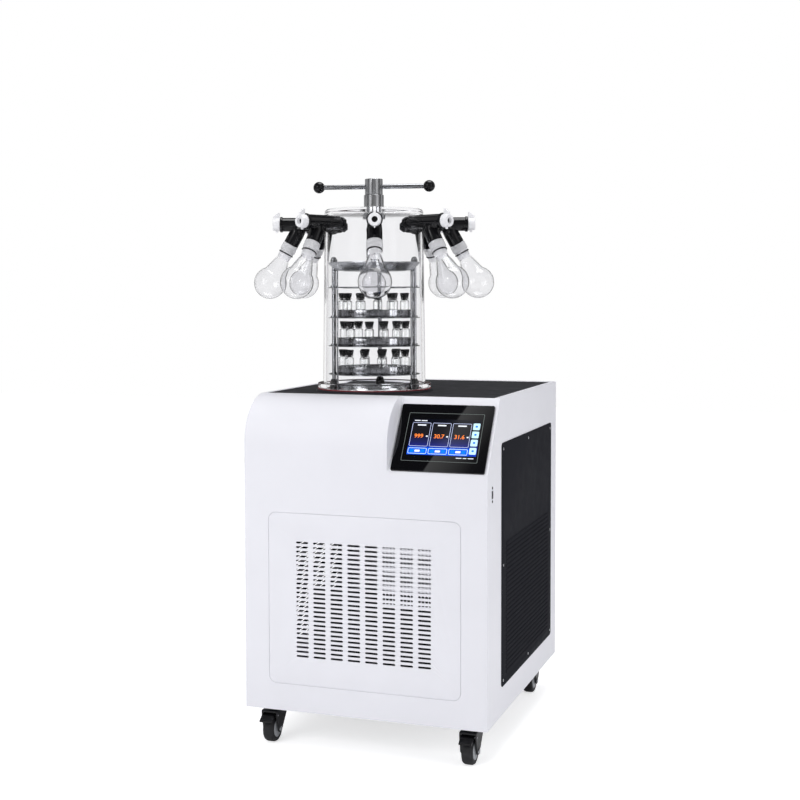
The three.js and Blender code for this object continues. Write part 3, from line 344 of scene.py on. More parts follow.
def add(tree, kind, sockets=(), **settings):
    """A shader node with its settings, its inputs set to values or linked to outputs."""
    node = tree.nodes.new(f"ShaderNode{kind}")
    for key, value in settings.items():
        setattr(node, key, value)
    for key, value in dict(sockets).items():
        if isinstance(value, bpy.types.NodeSocket):
            tree.links.new(value, node.inputs[key])
        else:
            node.inputs[key].default_value = value
    return node


def principled(name, color, roughness, metallic=0.0, **sockets):
    material = bpy.data.materials.new(name)
    material.use_nodes = True
    shader = material.node_tree.nodes["Principled BSDF"]
    shader.inputs["Base Color"].default_value = (*color, 1)
    shader.inputs["Roughness"].default_value = roughness
    shader.inputs["Metallic"].default_value = metallic
    for socket, value in sockets.items():
        shader.inputs[socket.replace("_", " ")].default_value = value
    return material


def feed(material, socket, source):
    """Link an output to the material's shader."""
    tree = material.node_tree
    tree.links.new(source, tree.nodes["Principled BSDF"].inputs[socket])


def noise(material, scale, stretch=(1, 1, 1), detail=3.0):
    """A noise pattern with so many lumps a metre, stretched along the axes."""
    tree = material.node_tree
    spot = add(tree, "TexCoord").outputs["Object"]
    spot = add(tree, "Mapping", {"Vector": spot, "Scale": stretch}).outputs["Vector"]
    return add(tree, "TexNoise", {"Vector": spot, "Scale": scale, "Detail": detail}).outputs["Fac"]


def ranged(tree, source, low, high):
    """The middle of a noise pattern spread between two values."""
    return add(tree, "MapRange", {
        "Value": source, "From Min": 0.3, "From Max": 0.7, "To Min": low, "To Max": high,
    }).outputs["Result"]


def blended(tree, factor, first, second):
    """One colour or grey at 0 and another at 1."""
    sockets = {"Factor": factor, "A": first, "B": second}
    return add(tree, "Mix", sockets, data_type="RGBA").outputs["Result"]


def vary_color(material, pattern, spread):
    """Lighter and darker patches of the same colour."""
    tree = material.node_tree
    color = tree.nodes["Principled BSDF"].inputs["Base Color"].default_value[:3]
    darker = (*[c * (1 - spread) for c in color], 1)
    lighter = (*[min(1, c * (1 + spread)) for c in color], 1)
    feed(material, "Base Color", blended(tree, ranged(tree, pattern, 0, 1), darker, lighter))


def vary_roughness(material, pattern, low, high):
    feed(material, "Roughness", ranged(material.node_tree, pattern, low, high))


def roughen(material, pattern, height, strength=0.3):
    """Relief of a height in millimetres."""
    sockets = {"Height": pattern, "Distance": height * MM, "Strength": strength}
    feed(material, "Normal", add(material.node_tree, "Bump", sockets).outputs["Normal"])


def powder_coat(name, color, roughness, grain, height, specular):
    """Baked powder: fine orange peel and faint clouds."""
    material = principled(name, color, roughness, Specular_IOR_Level=specular)
    vary_color(material, noise(material, 9), 0.012)
    vary_roughness(material, noise(material, 30), roughness - 0.04, roughness + 0.05)
    roughen(material, noise(material, grain, detail=2), height)
    return material


def brushed(name, color, roughness, stretch, spread=0.06):
    """Metal with fine lines across the stretched axis."""
    material = principled(name, color, roughness, 1.0)
    lines = noise(material, 60, stretch, detail=4)
    vary_color(material, lines, spread)
    vary_roughness(material, lines, roughness - 0.06, roughness + 0.08)
    roughen(material, lines, 0.02, 0.15)
    return material


def moulded(name, color, roughness, spread=0.05, **sockets):
    """Plastic or rubber with a fine moulded grain."""
    material = principled(name, color, roughness, **sockets)
    vary_color(material, noise(material, 45), spread)
    vary_roughness(material, noise(material, 120), roughness - 0.05, roughness + 0.06)
    roughen(material, noise(material, 1800, detail=1), 0.03, 0.2)
    return material


def clear(name, color, ior, gloss=0.0):
    """Glass or acrylic with faint waves, and more gloss than its own where asked."""
    material = principled(name, color, 0, Transmission_Weight=1.0, IOR=ior, Coat_Weight=gloss)
    roughen(material, noise(material, 14, detail=1), 0.4, 0.05)
    return material


white_paint = powder_coat("white_paint", (0.83, 0.83, 0.875), 0.4, 900, 0.05, 0.3)
black_paint = powder_coat("black_paint", (0.027, 0.0275, 0.032), 0.46, 1400, 0.12, 0.12)
vent_black = powder_coat("vent_black", (0.021, 0.0215, 0.026), 0.5, 1400, 0.12, 0.004)
pan_zinc = brushed("pan_zinc", (0.32, 0.33, 0.35), 0.4, (1, 20, 1))
steel_turned = brushed("steel_turned", (0.60, 0.61, 0.63), 0.2, (0.3, 0.3, 30))
steel_upright = brushed("steel_upright", (0.5, 0.505, 0.52), 0.26, (30, 30, 0.3), 0.3)
steel_sheet = brushed("steel_sheet", (0.58, 0.59, 0.61), 0.26, (0.5, 30, 0.5))
steel_drawn = brushed("steel_drawn", (0.3, 0.305, 0.32), 0.3, (0.5, 8, 8), 0.1)
steel_inner = principled("steel_inner", (0.3, 0.305, 0.32), 0.17, 1.0)
# The upright bands of lighter and darker colour on this steel are painted reflection streaks, not marks in
# the metal.
vary_color(steel_inner, noise(steel_inner, 90, (1, 1, 0.01), detail=4), 0.55)
vary_roughness(steel_inner, noise(steel_inner, 60, (0.3, 0.3, 30)), 0.1, 0.26)
black_plastic = moulded("black_plastic", (0.004, 0.004, 0.005), 0.15, Specular_IOR_Level=0.35)
black_hood = moulded("black_hood", (0.009, 0.009, 0.011), 0.36, 0.12)
white_plastic = moulded("white_plastic", (0.86, 0.86, 0.88), 0.28, 0.01)
port_black = moulded("port_black", (0.018, 0.018, 0.02), 0.5)
red_rubber = moulded("red_rubber", (0.17, 0.012, 0.02), 0.55, 0.1)
ring_rubber = moulded("ring_rubber", (0.005, 0.005, 0.006), 0.5)
tyre_rubber = moulded("tyre_rubber", (0.01, 0.01, 0.012), 0.5, 0.15)
wheel_hub = moulded("wheel_hub", (0.38, 0.39, 0.41), 0.4, 0.04)
coil_black = moulded("coil_black", (0.012, 0.012, 0.013), 0.55, 0.2)
stopper_rubber = moulded("stopper_rubber", (0.008, 0.008, 0.009), 0.6, 0.12, Specular_IOR_Level=0.2)
frosted_glass = moulded("frosted_glass", (0.9, 0.9, 0.92), 0.45, 0.02, Transmission_Weight=0.6, IOR=1.3)
acrylic = clear("acrylic", (0.93, 0.93, 0.94), 1.13)
flask_glass = clear("flask_glass", (0.93, 0.93, 0.94), 1.07, 0.5)
vial_glass = clear("vial_glass", (0.98, 0.985, 0.985), 1.4)
collar_plastic = principled("collar_plastic", (0.86, 0.86, 0.88), 0.16, Transmission_Weight=0.5, IOR=1.35)
roughen(collar_plastic, noise(collar_plastic, 300), 0.05)


# ---- casing

NOSE_DEPTH = cover_high[1] - FRONT
FACET_DROP = 162
NOSE_END = LEFT + 349  # the round nose stops here
FACET_START = LEFT + 357  # the flat facet starts here
COVER_WALL = 4
COVER_FOOT = 14
GAP = 0.3
SHEET = 1.5
BEZEL_FROM_RIGHT = 115  # the bezel's middle, from the casing's right side
BEZEL_UP_SLOPE = 87.5  # and from the facet's foot


def cover_edge(flatness, inset, steps=40):
    """The edge from the facet's foot to the nose's back, as (y, z): round at 0, flat at 1."""
    straight = FACET_DROP - NOSE_DEPTH
    run = straight + math.pi / 2 * NOSE_DEPTH
    slope = math.hypot(NOSE_DEPTH, FACET_DROP)
    along = (NOSE_DEPTH / slope, FACET_DROP / slope)
    inward = (FACET_DROP / slope, -NOSE_DEPTH / slope)
    first = inset * (1 - inward[0]) / along[0]
    last = (NOSE_DEPTH - inset * inward[0]) / along[0]
    points = []
    for i in range(steps + 1):
        t = i / steps
        angle = max(0, t * run - straight) / NOSE_DEPTH
        y, z = inset, t * run - FACET_DROP
        if angle > 0:
            y = NOSE_DEPTH - (NOSE_DEPTH - inset) * math.cos(angle)
            z = (NOSE_DEPTH - inset) * math.sin(angle) - NOSE_DEPTH
        s = first + t * (last - first)
        flat_y = inward[0] * inset + along[0] * s
        flat_z = inward[1] * inset + along[1] * s - FACET_DROP
        points.append((FRONT + y + flatness * (flat_y - y), TOP + z + flatness * (flat_z - z)))
    return points


def facet_frame():
    """The screen's own frame: X across, Y up the slope, Z out of it, from the bezel's middle."""
    up = Vector((0, NOSE_DEPTH, FACET_DROP)).normalized()
    across = Vector((1, 0, 0))
    basis = Matrix((across, up, across.cross(up))).transposed().to_4x4()
    foot = shift(RIGHT - BEZEL_FROM_RIGHT, FRONT, TOP - FACET_DROP)
    return foot @ basis @ shift(0, BEZEL_UP_SLOPE, 0)


FACET = facet_frame()


def front_cover():
    foot = FRONT + COVER_WALL + COVER_FOOT

    def section(x, flatness):
        inside = [(foot, BASE), (foot, BASE + COVER_WALL), (FRONT + COVER_WALL, BASE + COVER_WALL)]
        inside += cover_edge(flatness, COVER_WALL)
        return x, [(FRONT, BASE), *cover_edge(flatness, 0), *reversed(inside)]

    # Past a crisp edge the wall drops steeply, and it runs out softly on to the facet.
    blends = 16
    sections = [section(LEFT, 0), section(NOSE_END, 0)]
    for i in range(1, blends):
        t = (i / blends) ** 1.6
        x = NOSE_END + t * (FACET_START - NOSE_END)
        sections.append(section(x, 1 - (1 - t) ** 2.4))
    sections += [section(FACET_START, 1), section(RIGHT, 1)]
    cover = loft("front_cover_shell", sections, white_paint)
    low, high = corners("front_vent_panel")
    rebate = rectangle(low[0] - 0.9, low[2] - 0.9, high[0] + 0.9, high[2] + 0.9, 18)
    ledge = rectangle(low[0] + 11, low[2] + 11, high[0] - 11, high[2] - 11, 9)
    back = FRONT + 2
    combine(cover, [
        moved(prism("rebate", rebate, FRONT - 1, back), XZ),
        moved(prism("ledge", ledge, FRONT - 1, back + COVER_WALL), XZ),
        moved(block("screen_hole", (-90.3, -67.3, -8), (90.3, 67.3, 8)), FACET),
    ])
    soften(cover, 0.9, 3, 40, clamp=False)
    place(cover, "white_paint", "front_cover")


def slotted(name, outline, slots, thickness, edge, material):
    """A plate in X and Y with many holes, its edges rounded on both faces."""
    curve = bpy.data.curves.new(name, "CURVE")
    curve.dimensions = "2D"
    curve.fill_mode = "BOTH"
    curve.extrude = (thickness / 2 - edge) * MM
    curve.bevel_depth = edge * MM
    curve.bevel_resolution = 1
    curve.offset = -edge * MM
    for ring in [outline, *slots]:
        spline = curve.splines.new("POLY")
        spline.points.add(len(ring) - 1)
        for point, (x, y) in zip(spline.points, ring):
            point.co = (x * MM, y * MM, 0, 1)
        spline.use_cyclic_u = True
    plate = from_curve(name, curve, material)
    cleaned(plate.data, 1e-6, turn_outwards)
    return smooth(plate)


def vent_panel():
    low, high = corners("front_vent_panel")
    centre = ((low[0] + high[0]) / 2, (low[2] + high[2]) / 2)
    columns, rows = 8, 26
    pitch = (41.8, 10.5)
    reach, rise = 30 / 2, 4.6 / 2
    slots = []
    for column in range(columns):
        x = centre[0] + (column - (columns - 1) / 2) * pitch[0]
        for row in range(rows):
            z = centre[1] + (row - (rows - 1) / 2) * pitch[1]
            slots.append(rectangle(x - reach, z - rise, x + reach, z + rise, rise, 3))
    outline = rectangle(low[0], low[2], high[0], high[2], 17, 10)
    panel = slotted("vent_panel", outline, slots, 2, 0.35, white_paint)
    moved(panel, XZ, shift(0, FRONT + 1, 0))
    place(panel, "white_paint", "front_vent_panel")
    # The perforated shield hangs behind the last three columns.
    hole_pitch, row_pitch, hole = 8.36, 8.4, 3.8
    first = centre[0] + 1.5 * pitch[0] - reach + 2.5
    top = centre[1] + (rows - 1) / 2 * pitch[1]
    holes = [
        polygon(first + hole_pitch * i, top + 2.7 - row_pitch * k, hole, 12)
        for i in range(15) for k in range(16)
    ]
    edge = rectangle(first - 12, top - 131.6, high[0] - 30, top + 14, 3)
    shield = slotted("perforated_shield", edge, holes, 1.2, 0.15, white_paint)
    moved(shield, XZ, shift(0, FRONT + 2.9, 0))
    place(shield, "white_paint")


def housing_wrap():
    """Sides and back folded from one sheet, flanged along the top."""
    inset = COVER_WALL + GAP
    rim, back_rim = 12, 30
    middle = (LEFT + RIGHT) / 2
    wrap = block("casing_wrap", (LEFT, FRONT, BASE), (RIGHT, BACK, TOP), white_paint)

    def nose_cut(flatness, x0, x1):
        foot = FRONT + inset + COVER_FOOT
        outline = [
            (FRONT - 10, BASE - 10), (foot, BASE - 10), (foot, BASE + inset),
            (FRONT + inset, BASE + inset), *cover_edge(flatness, inset),
            (FRONT + NOSE_DEPTH + GAP, TOP - inset), (FRONT + NOSE_DEPTH + GAP, TOP + 10),
            (FRONT - 10, TOP + 10),
        ]
        return moved(prism("nose_cut", outline, x0, x1), YZ)

    low, high = corners("side_vent_right")
    lap = 14
    opening = rectangle(low[1] + lap, low[2] + lap, high[1] - lap, high[2] - lap, 10)
    tube_hole = moved(rod("tube_hole", 14.8, BACK - 6, BACK + 6), BACKWARDS, shift(AXIS[0], 0, TUBE_HEIGHT))
    combine(wrap, [
        block("room", (LEFT + SHEET, FRONT - 1, BASE - 1), (RIGHT - SHEET, BACK - SHEET, TOP - SHEET)),
        block("mouth", (LEFT + rim, FRONT - 1, TOP - 3), (RIGHT - rim, BACK - back_rim, TOP + 1)),
        nose_cut(0, LEFT - 1, middle),
        nose_cut(1, middle, RIGHT + 1),
        moved(prism("vent_opening", opening, LEFT - 1, LEFT + 3), YZ),
        moved(prism("vent_opening", opening, RIGHT - 3, RIGHT + 1), YZ),
        tube_hole,
    ])
    x, z = RIGHT - 120, BASE + 70
    combine(wrap, [block("inlet_hole", (x - 21, BACK - 9, z - 12), (x + 21, BACK + 5, z + 12))])
    soften(wrap, 0.5, 2, 40, clamp=False)
    place(wrap, "white_paint", "housing_wrap")
    power_inlet(x, z)


def power_inlet(x, z):
    """A three-pin appliance inlet let into the back."""
    flange = rectangle(x - 25, z - 14, x + 25, z + 14, 4)
    mouth = filleted([
        (x - 12, z - 9, 1.5), (x + 12, z - 9, 1.5), (x + 12, z + 5, 1.5), (x + 7, z + 10, 1.5),
        (x - 7, z + 10, 1.5), (x - 12, z + 5, 1.5),
    ])
    face = moved(prism("inlet_shell", flange, BACK, BACK + 2.2, port_black), XZ)
    well = block("well", (x - 20, BACK - 24, z - 11.6), (x + 20, BACK + 1, z + 11.6), port_black, 1)
    combine(face, [well], "UNION")
    combine(face, [moved(prism("mouth", mouth, BACK - 21, BACK + 5), XZ)])
    soften(face, 0.5, 2)
    pins = [
        block("pin", (px - 2, BACK - 22, pz - 1), (px + 2, BACK - 4, pz + 1), steel_sheet, 0.6)
        for px, pz in ((x - 7, z - 2), (x, z + 3), (x + 7, z - 2))
    ]
    place(joined("power_inlet", [face, *pins]), "black_plastic")


def screw(name, spot, material):
    """A small pan-head screw that stands out along X, with a cross recess."""
    head = turned(name, [(0, -0.5), (3.2, -0.5), (3.2, 0.9, 0.5), (0, 1.5)], material, 20)
    for angle in (20, 110):
        combine(head, [moved(block("slot", (-2, -0.35, 0.9), (2, 0.35, 3)), turn("Z", angle))])
    return moved(smooth(head), ALONG_X, shift(*spot))


def data_port():
    """A socket on the right side near the screen, between two screws."""
    y, z = FRONT + 41, BASE + 518.6
    edge = rectangle(y - 4.5, z - 9, y + 4.5, z + 9, 1.5)
    mouth = rectangle(y - 2.2, z - 6.5, y + 2.2, z + 6.5, 0.6)
    port = moved(prism("data_port", edge, RIGHT - 3, RIGHT + 1, port_black), YZ)
    combine(port, [moved(prism("mouth", mouth, RIGHT - 2, RIGHT + 2), YZ)])
    soften(port, 0.3, 2)
    tongue = block("tongue", (RIGHT - 2.5, y - 0.7, z - 5), (RIGHT + 0.3, y + 0.7, z + 5), steel_sheet)
    screws = [screw("port_screw", (RIGHT, y, z + dz), port_black) for dz in (-15, 15)]
    place(joined("data_socket", [port, tongue, *screws]), "black_plastic")


LOUVRES = 29
LOUVRE_PITCH = 10.6
SLIT = 5


def louvre(start, end, foot):
    """A hood pressed out over a slit, its ends drawn back to the sheet. Along Y, out along X."""
    hood, taper, wall, out, lift, flush = 2.5, 7, 1.1, 1.5, 0.8, 0.05
    rise = SLIT + hood - lift

    def section(y, reach):
        arc = [math.pi / 2 * i / 6 for i in range(7)]
        outer = [(out + reach * math.sin(a), foot + lift + rise * math.cos(a)) for a in arc]
        inner = [
            (out - wall + reach * math.sin(a), foot + lift + (rise - 1.4) * math.cos(a)) for a in arc
        ]
        return y, outer + inner[::-1]

    first, last = [], []
    for i in range(4):
        a = math.pi / 2 * i / 3
        inset, reach = taper * (1 - math.cos(a)), flush + (hood - flush) * math.sin(a)
        first.append(section(start + inset, reach))
        last.append(section(end - inset, reach))
    return moved(loft("louvre", first + last[::-1], vent_black), SWAP)


def side_vent(side, *matrices):
    """A louvred panel screwed on the outside of a side."""
    low, high = corners("side_vent_right")
    front, back, foot, head = low[1], high[1], low[2], high[2]
    start, end = front + 40, back - 40
    slits, hoods = [], []
    for i in range(LOUVRES):
        z = foot + 24 + LOUVRE_PITCH * i
        slits.append(rectangle(start, z, end, z + SLIT, 2.4, 3))
        hoods.append(louvre(start - 3, end + 3, z))
    sheet = slotted("vent_sheet", rectangle(front, foot, back, head, 10, 8), slits, SHEET, 0.25, vent_black)
    moved(sheet, YZ, shift(SHEET / 2, 0, 0))
    screws = [
        screw("vent_screw", (SHEET, y, z), steel_sheet)
        for y in (front + 14, (front + back) / 2, back - 14)
        for z in (foot + 14, (foot + head) / 2, head - 14)
        if (y, z) != ((front + back) / 2, (foot + head) / 2)
    ]
    panel = smooth(joined(f"vent_{side}", [sheet, *hoods, *screws]), 50)
    place(moved(panel, *matrices), "black_paint", f"side_vent_{side}")


front_cover()
vent_panel()
housing_wrap()
data_port()
side_vent("right", shift(RIGHT, 0, 0))
side_vent("left", MIRROR, shift(LEFT, 0, 0))
place(cad_copy("top_plate", "deck_plate", black_paint, 1.2, 3), "black_paint", "top_plate")
place(cad_copy("base_pan", "floor_pan", pan_zinc, 0.5, 2, 30), "dark_steel", "base_pan")


# ---- touch screen

def graded(tree, source, stops):
    """Greys or colours at places along a value."""
    ramp = add(tree, "ValToRGB", {"Fac": source})
    marks = ramp.color_ramp.elements
    marks[0].position, marks[1].position = stops[0][0], stops[-1][0]
    for position, _ in stops[1:-1]:
        marks.new(position)
    for mark, (_, value) in zip(marks, stops):
        mark.color = (*(value if isinstance(value, tuple) else (value,) * 3), 1)
    return ramp.outputs["Color"]


def glowing(name, color, strength=0.9):
    """A lit part of the display under its gloss."""
    lit = {"Emission_Color": (*color, 1), "Emission_Strength": strength}
    material = principled(name, [c * 0.3 for c in color], 0.12, **lit)
    vary_color(material, noise(material, 400), 0.04)
    return material


def by_height(name, low, high, stops):
    """A lit colour that changes with the height on the display."""
    material = principled(name, (0.002, 0.002, 0.004), 0.05, Emission_Strength=1)
    tree = material.node_tree
    spot = add(tree, "TexCoord").outputs["Object"]
    height = add(tree, "SeparateXYZ", {"Vector": spot}).outputs["Z"]
    rise = add(tree, "MapRange", {"Value": height, "From Min": low, "From Max": high})
    feed(material, "Emission Color", graded(tree, rise.outputs["Result"], stops))
    return material


screen_glass = principled("screen_glass", (0.003, 0.003, 0.004), 0.01, Specular_IOR_Level=0.6)
vary_roughness(screen_glass, noise(screen_glass, 25), 0.006, 0.014)
window_line = glowing("window_line", (0.13, 0.15, 0.145))
lit_orange = glowing("lit_orange", (1.0, 0.24, 0.04), 1.0)
lit_white = glowing("lit_white", (0.9, 0.94, 1.0))
lit_frame = glowing("lit_frame", (0.56, 0.62, 0.9))
lit_blue = glowing("lit_blue", (0.0, 0.09, 0.85))
lit_key = glowing("lit_key", (0.0, 0.2, 0.95))
lit_icon = glowing("lit_icon", (0.6, 0.88, 1.0))
LCD = (-77, 83, -43.5, 47)  # left, right, foot and head of the lit area from the bezel's middle
GLASS_TOP = 4.4


def spot_at(u, v):
    """A place on the lit area, from its left and its top, 0 to 1."""
    return LCD[0] + u * (LCD[1] - LCD[0]), LCD[3] - v * (LCD[3] - LCD[2])


def tile(u0, v0, u1, v1, material, radius, rise, inset=0, steps=4):
    """A lit field that rises a little over the glass."""
    x0, y1 = spot_at(u0, v0)
    x1, y0 = spot_at(u1, v1)
    outline = rectangle(x0 + inset, y0 + inset, x1 - inset, y1 - inset, radius, steps)
    return moved(prism("tile", outline, -0.1, rise, material), shift(0, 0, GLASS_TOP), FACET)


def outlined(u0, v0, u1, v1, line, material, fill, rise, radius=3):
    """A rounded field with a lit line round it."""
    return [
        tile(u0, v0, u1, v1, material, radius, rise, 0, 5),
        tile(u0, v0, u1, v1, fill, radius - line, rise + 0.03, line, 5),
    ]


def written(text, u, v, height, material, rise):
    """Plain numbers, their middle at a place on the lit area."""
    curve = bpy.data.curves.new("value", "FONT")
    curve.body = text
    curve.size = height * MM
    curve.align_x = "CENTER"
    curve.align_y = "CENTER"
    curve.extrude = 0.03 * MM
    curve.offset = 0.28 * MM
    made = from_curve("value", curve, material)
    return moved(made, shift(*spot_at(u, v), GLASS_TOP + rise), FACET)


def touch_screen():
    bezel = prism("bezel", rectangle(-108, -85, 108, 85, 4, 6), 0.3, 5, screen_glass)
    soften(bezel, 0.5, 3)
    combine(bezel, [prism("window", rectangle(-88, -60, 88.3, 63, 2.5, 4), GLASS_TOP, 6)])
    case = soften(block("case", (-90, -67, -34), (90, 67, 2), black_hood, 3), 1, 2)
    line = rectangle(-87.8, -59.8, 88.1, 62.8, 2.4, 4)
    inside = rectangle(-86.6, -58.6, 86.9, 61.6, 1.6, 4)
    body = joined("screen_body", [
        bezel,
        case,
        prism("line", line, GLASS_TOP - 0.2, GLASS_TOP + 0.03, window_line),
        prism("inside", inside, GLASS_TOP - 0.2, GLASS_TOP + 0.06, screen_glass),
    ])
    place(faired(moved(body, FACET)), "screen", "touch_screen")
    foot, head = [(FACET @ Vector((0, y * MM, 0))).z for y in LCD[2:]]
    dusk = by_height("dusk", foot, head, (
        (0.2, (0.0, 0.05, 0.6)), (0.3, (0.004, 0.02, 0.22)), (0.55, (0.001, 0.002, 0.006)),
    ))
    tile_dusk = by_height("tile_dusk", foot, head, (
        (0.22, (0.016, 0.028, 0.3)), (0.38, (0.014, 0.018, 0.12)), (0.6, (0.01, 0.01, 0.012)),
    ))
    field = tile(0, 0, 1, 1, dusk, 0.4, 0.09)
    field.name = "display_field"
    place(field, "screen")
    lit = [
        tile(0.03, 0.036, 0.115, 0.06, lit_white, 0.2, 0.13),
        tile(0.13, 0.036, 0.215, 0.06, lit_white, 0.2, 0.13),
        tile(0.0, 0.797, 0.888, 1.0, lit_blue, 0.6, 0.13),
    ]
    for i, value in enumerate(("999", "30.7", "31.6")):
        u = 0.0095 + 0.295 * i
        lit += [
            *outlined(u, 0.102, u + 0.272, 0.765, 1.0, lit_frame, tile_dusk, 0.13),
            tile(u + 0.077, 0.155, u + 0.2, 0.19, lit_white, 0.3, 0.2),
            written(value, u + 0.12, 0.485, 14, lit_orange, 0.2),
            tile(u + 0.225, 0.465, u + 0.252, 0.5, lit_white, 0.3, 0.2),
            *outlined(u, 0.812, u + 0.272, 0.975, 1.3, lit_icon, lit_blue, 0.17),
            tile(u + 0.028, 0.85, u + 0.088, 0.94, lit_key, 1.2, 0.22),
            tile(u + 0.184, 0.85, u + 0.244, 0.94, lit_key, 1.2, 0.22),
            tile(u + 0.098, 0.865, u + 0.174, 0.925, lit_white, 1.5, 0.22),
        ]
    for i in range(4):
        v = 0.085 + 0.2257 * i
        lit.append(tile(0.893, v, 0.991, v + 0.185, lit_icon, 2.2, 0.17))
        lit.append(tile(0.926, v + 0.065, 0.958, v + 0.115, lit_key, 1.0, 0.24))
    for start, end in ((0.72, 0.8), (0.82, 0.87), (0.89, 0.97)):
        lit.append(tile(start, 1.05, end, 1.07, lit_white, 0.2, 0.13))
    place(joined("display_marks", lit), "screen")


touch_screen()


# ---- chamber

VALVE_ANGLES = [-70.1 + 45 * i for i in range(8)]
VALVE_HEIGHT = 401
CROWN = 437.3
BAR_HEIGHT = 491.3
HANDLE_TURN = turn("Z", 10.9)
RACK_TURN = turn("Z", 19.9)
RACK_POSTS = [(-97.3, 0), (97.3, 0), (15, 97.3)]
GUIDE_RODS = [(-87, -58), (87, -58)]
SHELVES = [42.6, 110.6, 178.2, 250.9]


def cold_trap():
    foot = -258
    well = turned("trap_well", [
        (0, foot), (86, foot, 12), (86, 0), (126, 0), (126, 5, 1.2), (86.5, 5, 0.4),
        (86.5, 11, 1.2), (84, 11, 1.2), (84, foot + 2, 10), (0, foot + 2),
    ], steel_turned, 128, 5)
    to_tube = (BACKWARDS, shift(*AXIS, TUBE_HEIGHT))
    combine(moved(well, CHAMBER), [moved(rod("hole", 14.4, 74, 100, None, 48), *to_tube)])
    place(smooth(well), "stainless", "cold_trap")
    end = corners("vacuum_tube")[1][1] - AXIS[1]
    tube = turned("vacuum_pipe", [
        (12, 82), (14, 82, 0.4), (14, 86.3), (19, 86.3, 0.6), (19, 89.3, 0.6), (14, 89.3), (14, end - 4),
        (15.5, end - 4, 1), (20, end - 1.4, 0.8), (20, end, 0.8), (12, end, 0.4),
    ], steel_turned, 64)
    place(smooth(moved(tube, *to_tube)), "stainless", "vacuum_tube")


def bell():
    seat = [(126.3, 0), (141, 0), (141, 5, 1.2), (126.3, 5, 0.6)]
    stand(turned("seat", seat, black_paint, 128), "black_paint", "seat_ring")
    gasket = [(121, 5), (137.5, 5, 1.4), (137.5, 8, 1.4), (121, 8, 0.8)]
    stand(turned("gasket", gasket, red_rubber, 128), "red_rubber", "base_gasket")
    jar = turned("bell", [
        (18, 437), (118.7, 437, 9), (118.7, 420, 4), (123.5, 25, 4), (123.5, 20.5, 2),
        (136.5, 20, 1.6), (136.5, 8, 0.8), (117.5, 8, 0.8), (112.7, 425, 8), (18, 425),
    ], acrylic, 160, 6)
    combine(jar, [
        moved(rod("port", 10.15, 95, 140, None, 48), ALONG_X, turn("Z", angle), shift(0, 0, VALVE_HEIGHT))
        for angle in VALVE_ANGLES
    ])
    jar.visible_shadow = False
    stand(jar, "acrylic", "bell_jar", angle=32)


def handle():
    collar = turned("collar", [
        (8.4, CROWN + 34), (23.8, CROWN + 34, 1), (23.8, CROWN, 0.6), (17.7, CROWN),
        (17.7, CROWN - 12.6), (27, CROWN - 12.6, 0.8), (27, CROWN - 22.6, 0.8), (8.4, CROWN - 22.6),
    ], steel_upright)
    groove = [(23.2, CROWN + 5), (26, CROWN + 5), (26, CROWN + 6.2), (23.2, CROWN + 6.2)]
    combine(collar, [turned("groove", groove)])
    stand(collar, "stainless", "press_collar")
    foot = 471.9
    on_handle = {"body": "handle", "by": (HANDLE_TURN,)}
    across = (ALONG_X, shift(0, 0, BAR_HEIGHT))
    hub = turned("hub", [
        (8.4, foot), (21.3, foot, 0.8), (21.3, foot + 38, 1.5), (0, foot + 38),
        (0, foot + 32), (8.4, foot + 32),
    ], steel_upright)
    combine(hub, [moved(rod("hole", 5.9, -30, 30, None, 32), *across)])
    stand(hub, "stainless", "press_hub", **on_handle)
    bar = moved(rod("bar", 5.6, -130, 130, steel_drawn, 40, 0.6), *across)
    stand(bar, "stainless", "handle_bar", **on_handle)
    profile = [(0, -12.4), (5.2, -12.4, 0.8), (6.2, -12.2, 0.5)]
    for i in range(3, 20):
        a = math.radians(-90 + 9 * i)
        profile.append((14 * math.cos(a), 14 * math.sin(a)))
    profile.append((0, 14))
    for name, half in (("ball_right", 0), ("ball_left", 180)):
        ball = moved(turned(name, profile, black_plastic, 48), ALONG_X, shift(134, 0, BAR_HEIGHT))
        stand(moved(ball, turn("Z", half)), "black_plastic", **on_handle, angle=50)


def press():
    screw_rod = turned("rod", [(0, 292.8), (8, 292.8, 0.8), (8, 483, 1), (0, 483)], steel_inner, 48)
    stand(screw_rod, "stainless", "press_rod", body="press")
    dish = turned("dish", [
        (0, 290.5), (92, 290.5, 3), (110.5, 308, 1), (110.5, 310, 0.8), (108.4, 310, 0.8),
        (91, 292.5, 3), (16, 292.5, 1.5), (16, 305.5, 1.2), (8.3, 305.5), (8.3, 292.5), (0, 292.5),
    ], steel_sheet, 128)
    holes = [(spot, 6) for spot in RACK_POSTS] + [(spot, 3.2) for spot in GUIDE_RODS]
    combine(dish, [
        moved(rod("post_hole", radius, 280, 320, None, 32), shift(*spot, 0), RACK_TURN)
        for spot, radius in holes
    ])
    stand(dish, "stainless", "press_plate", body="press")


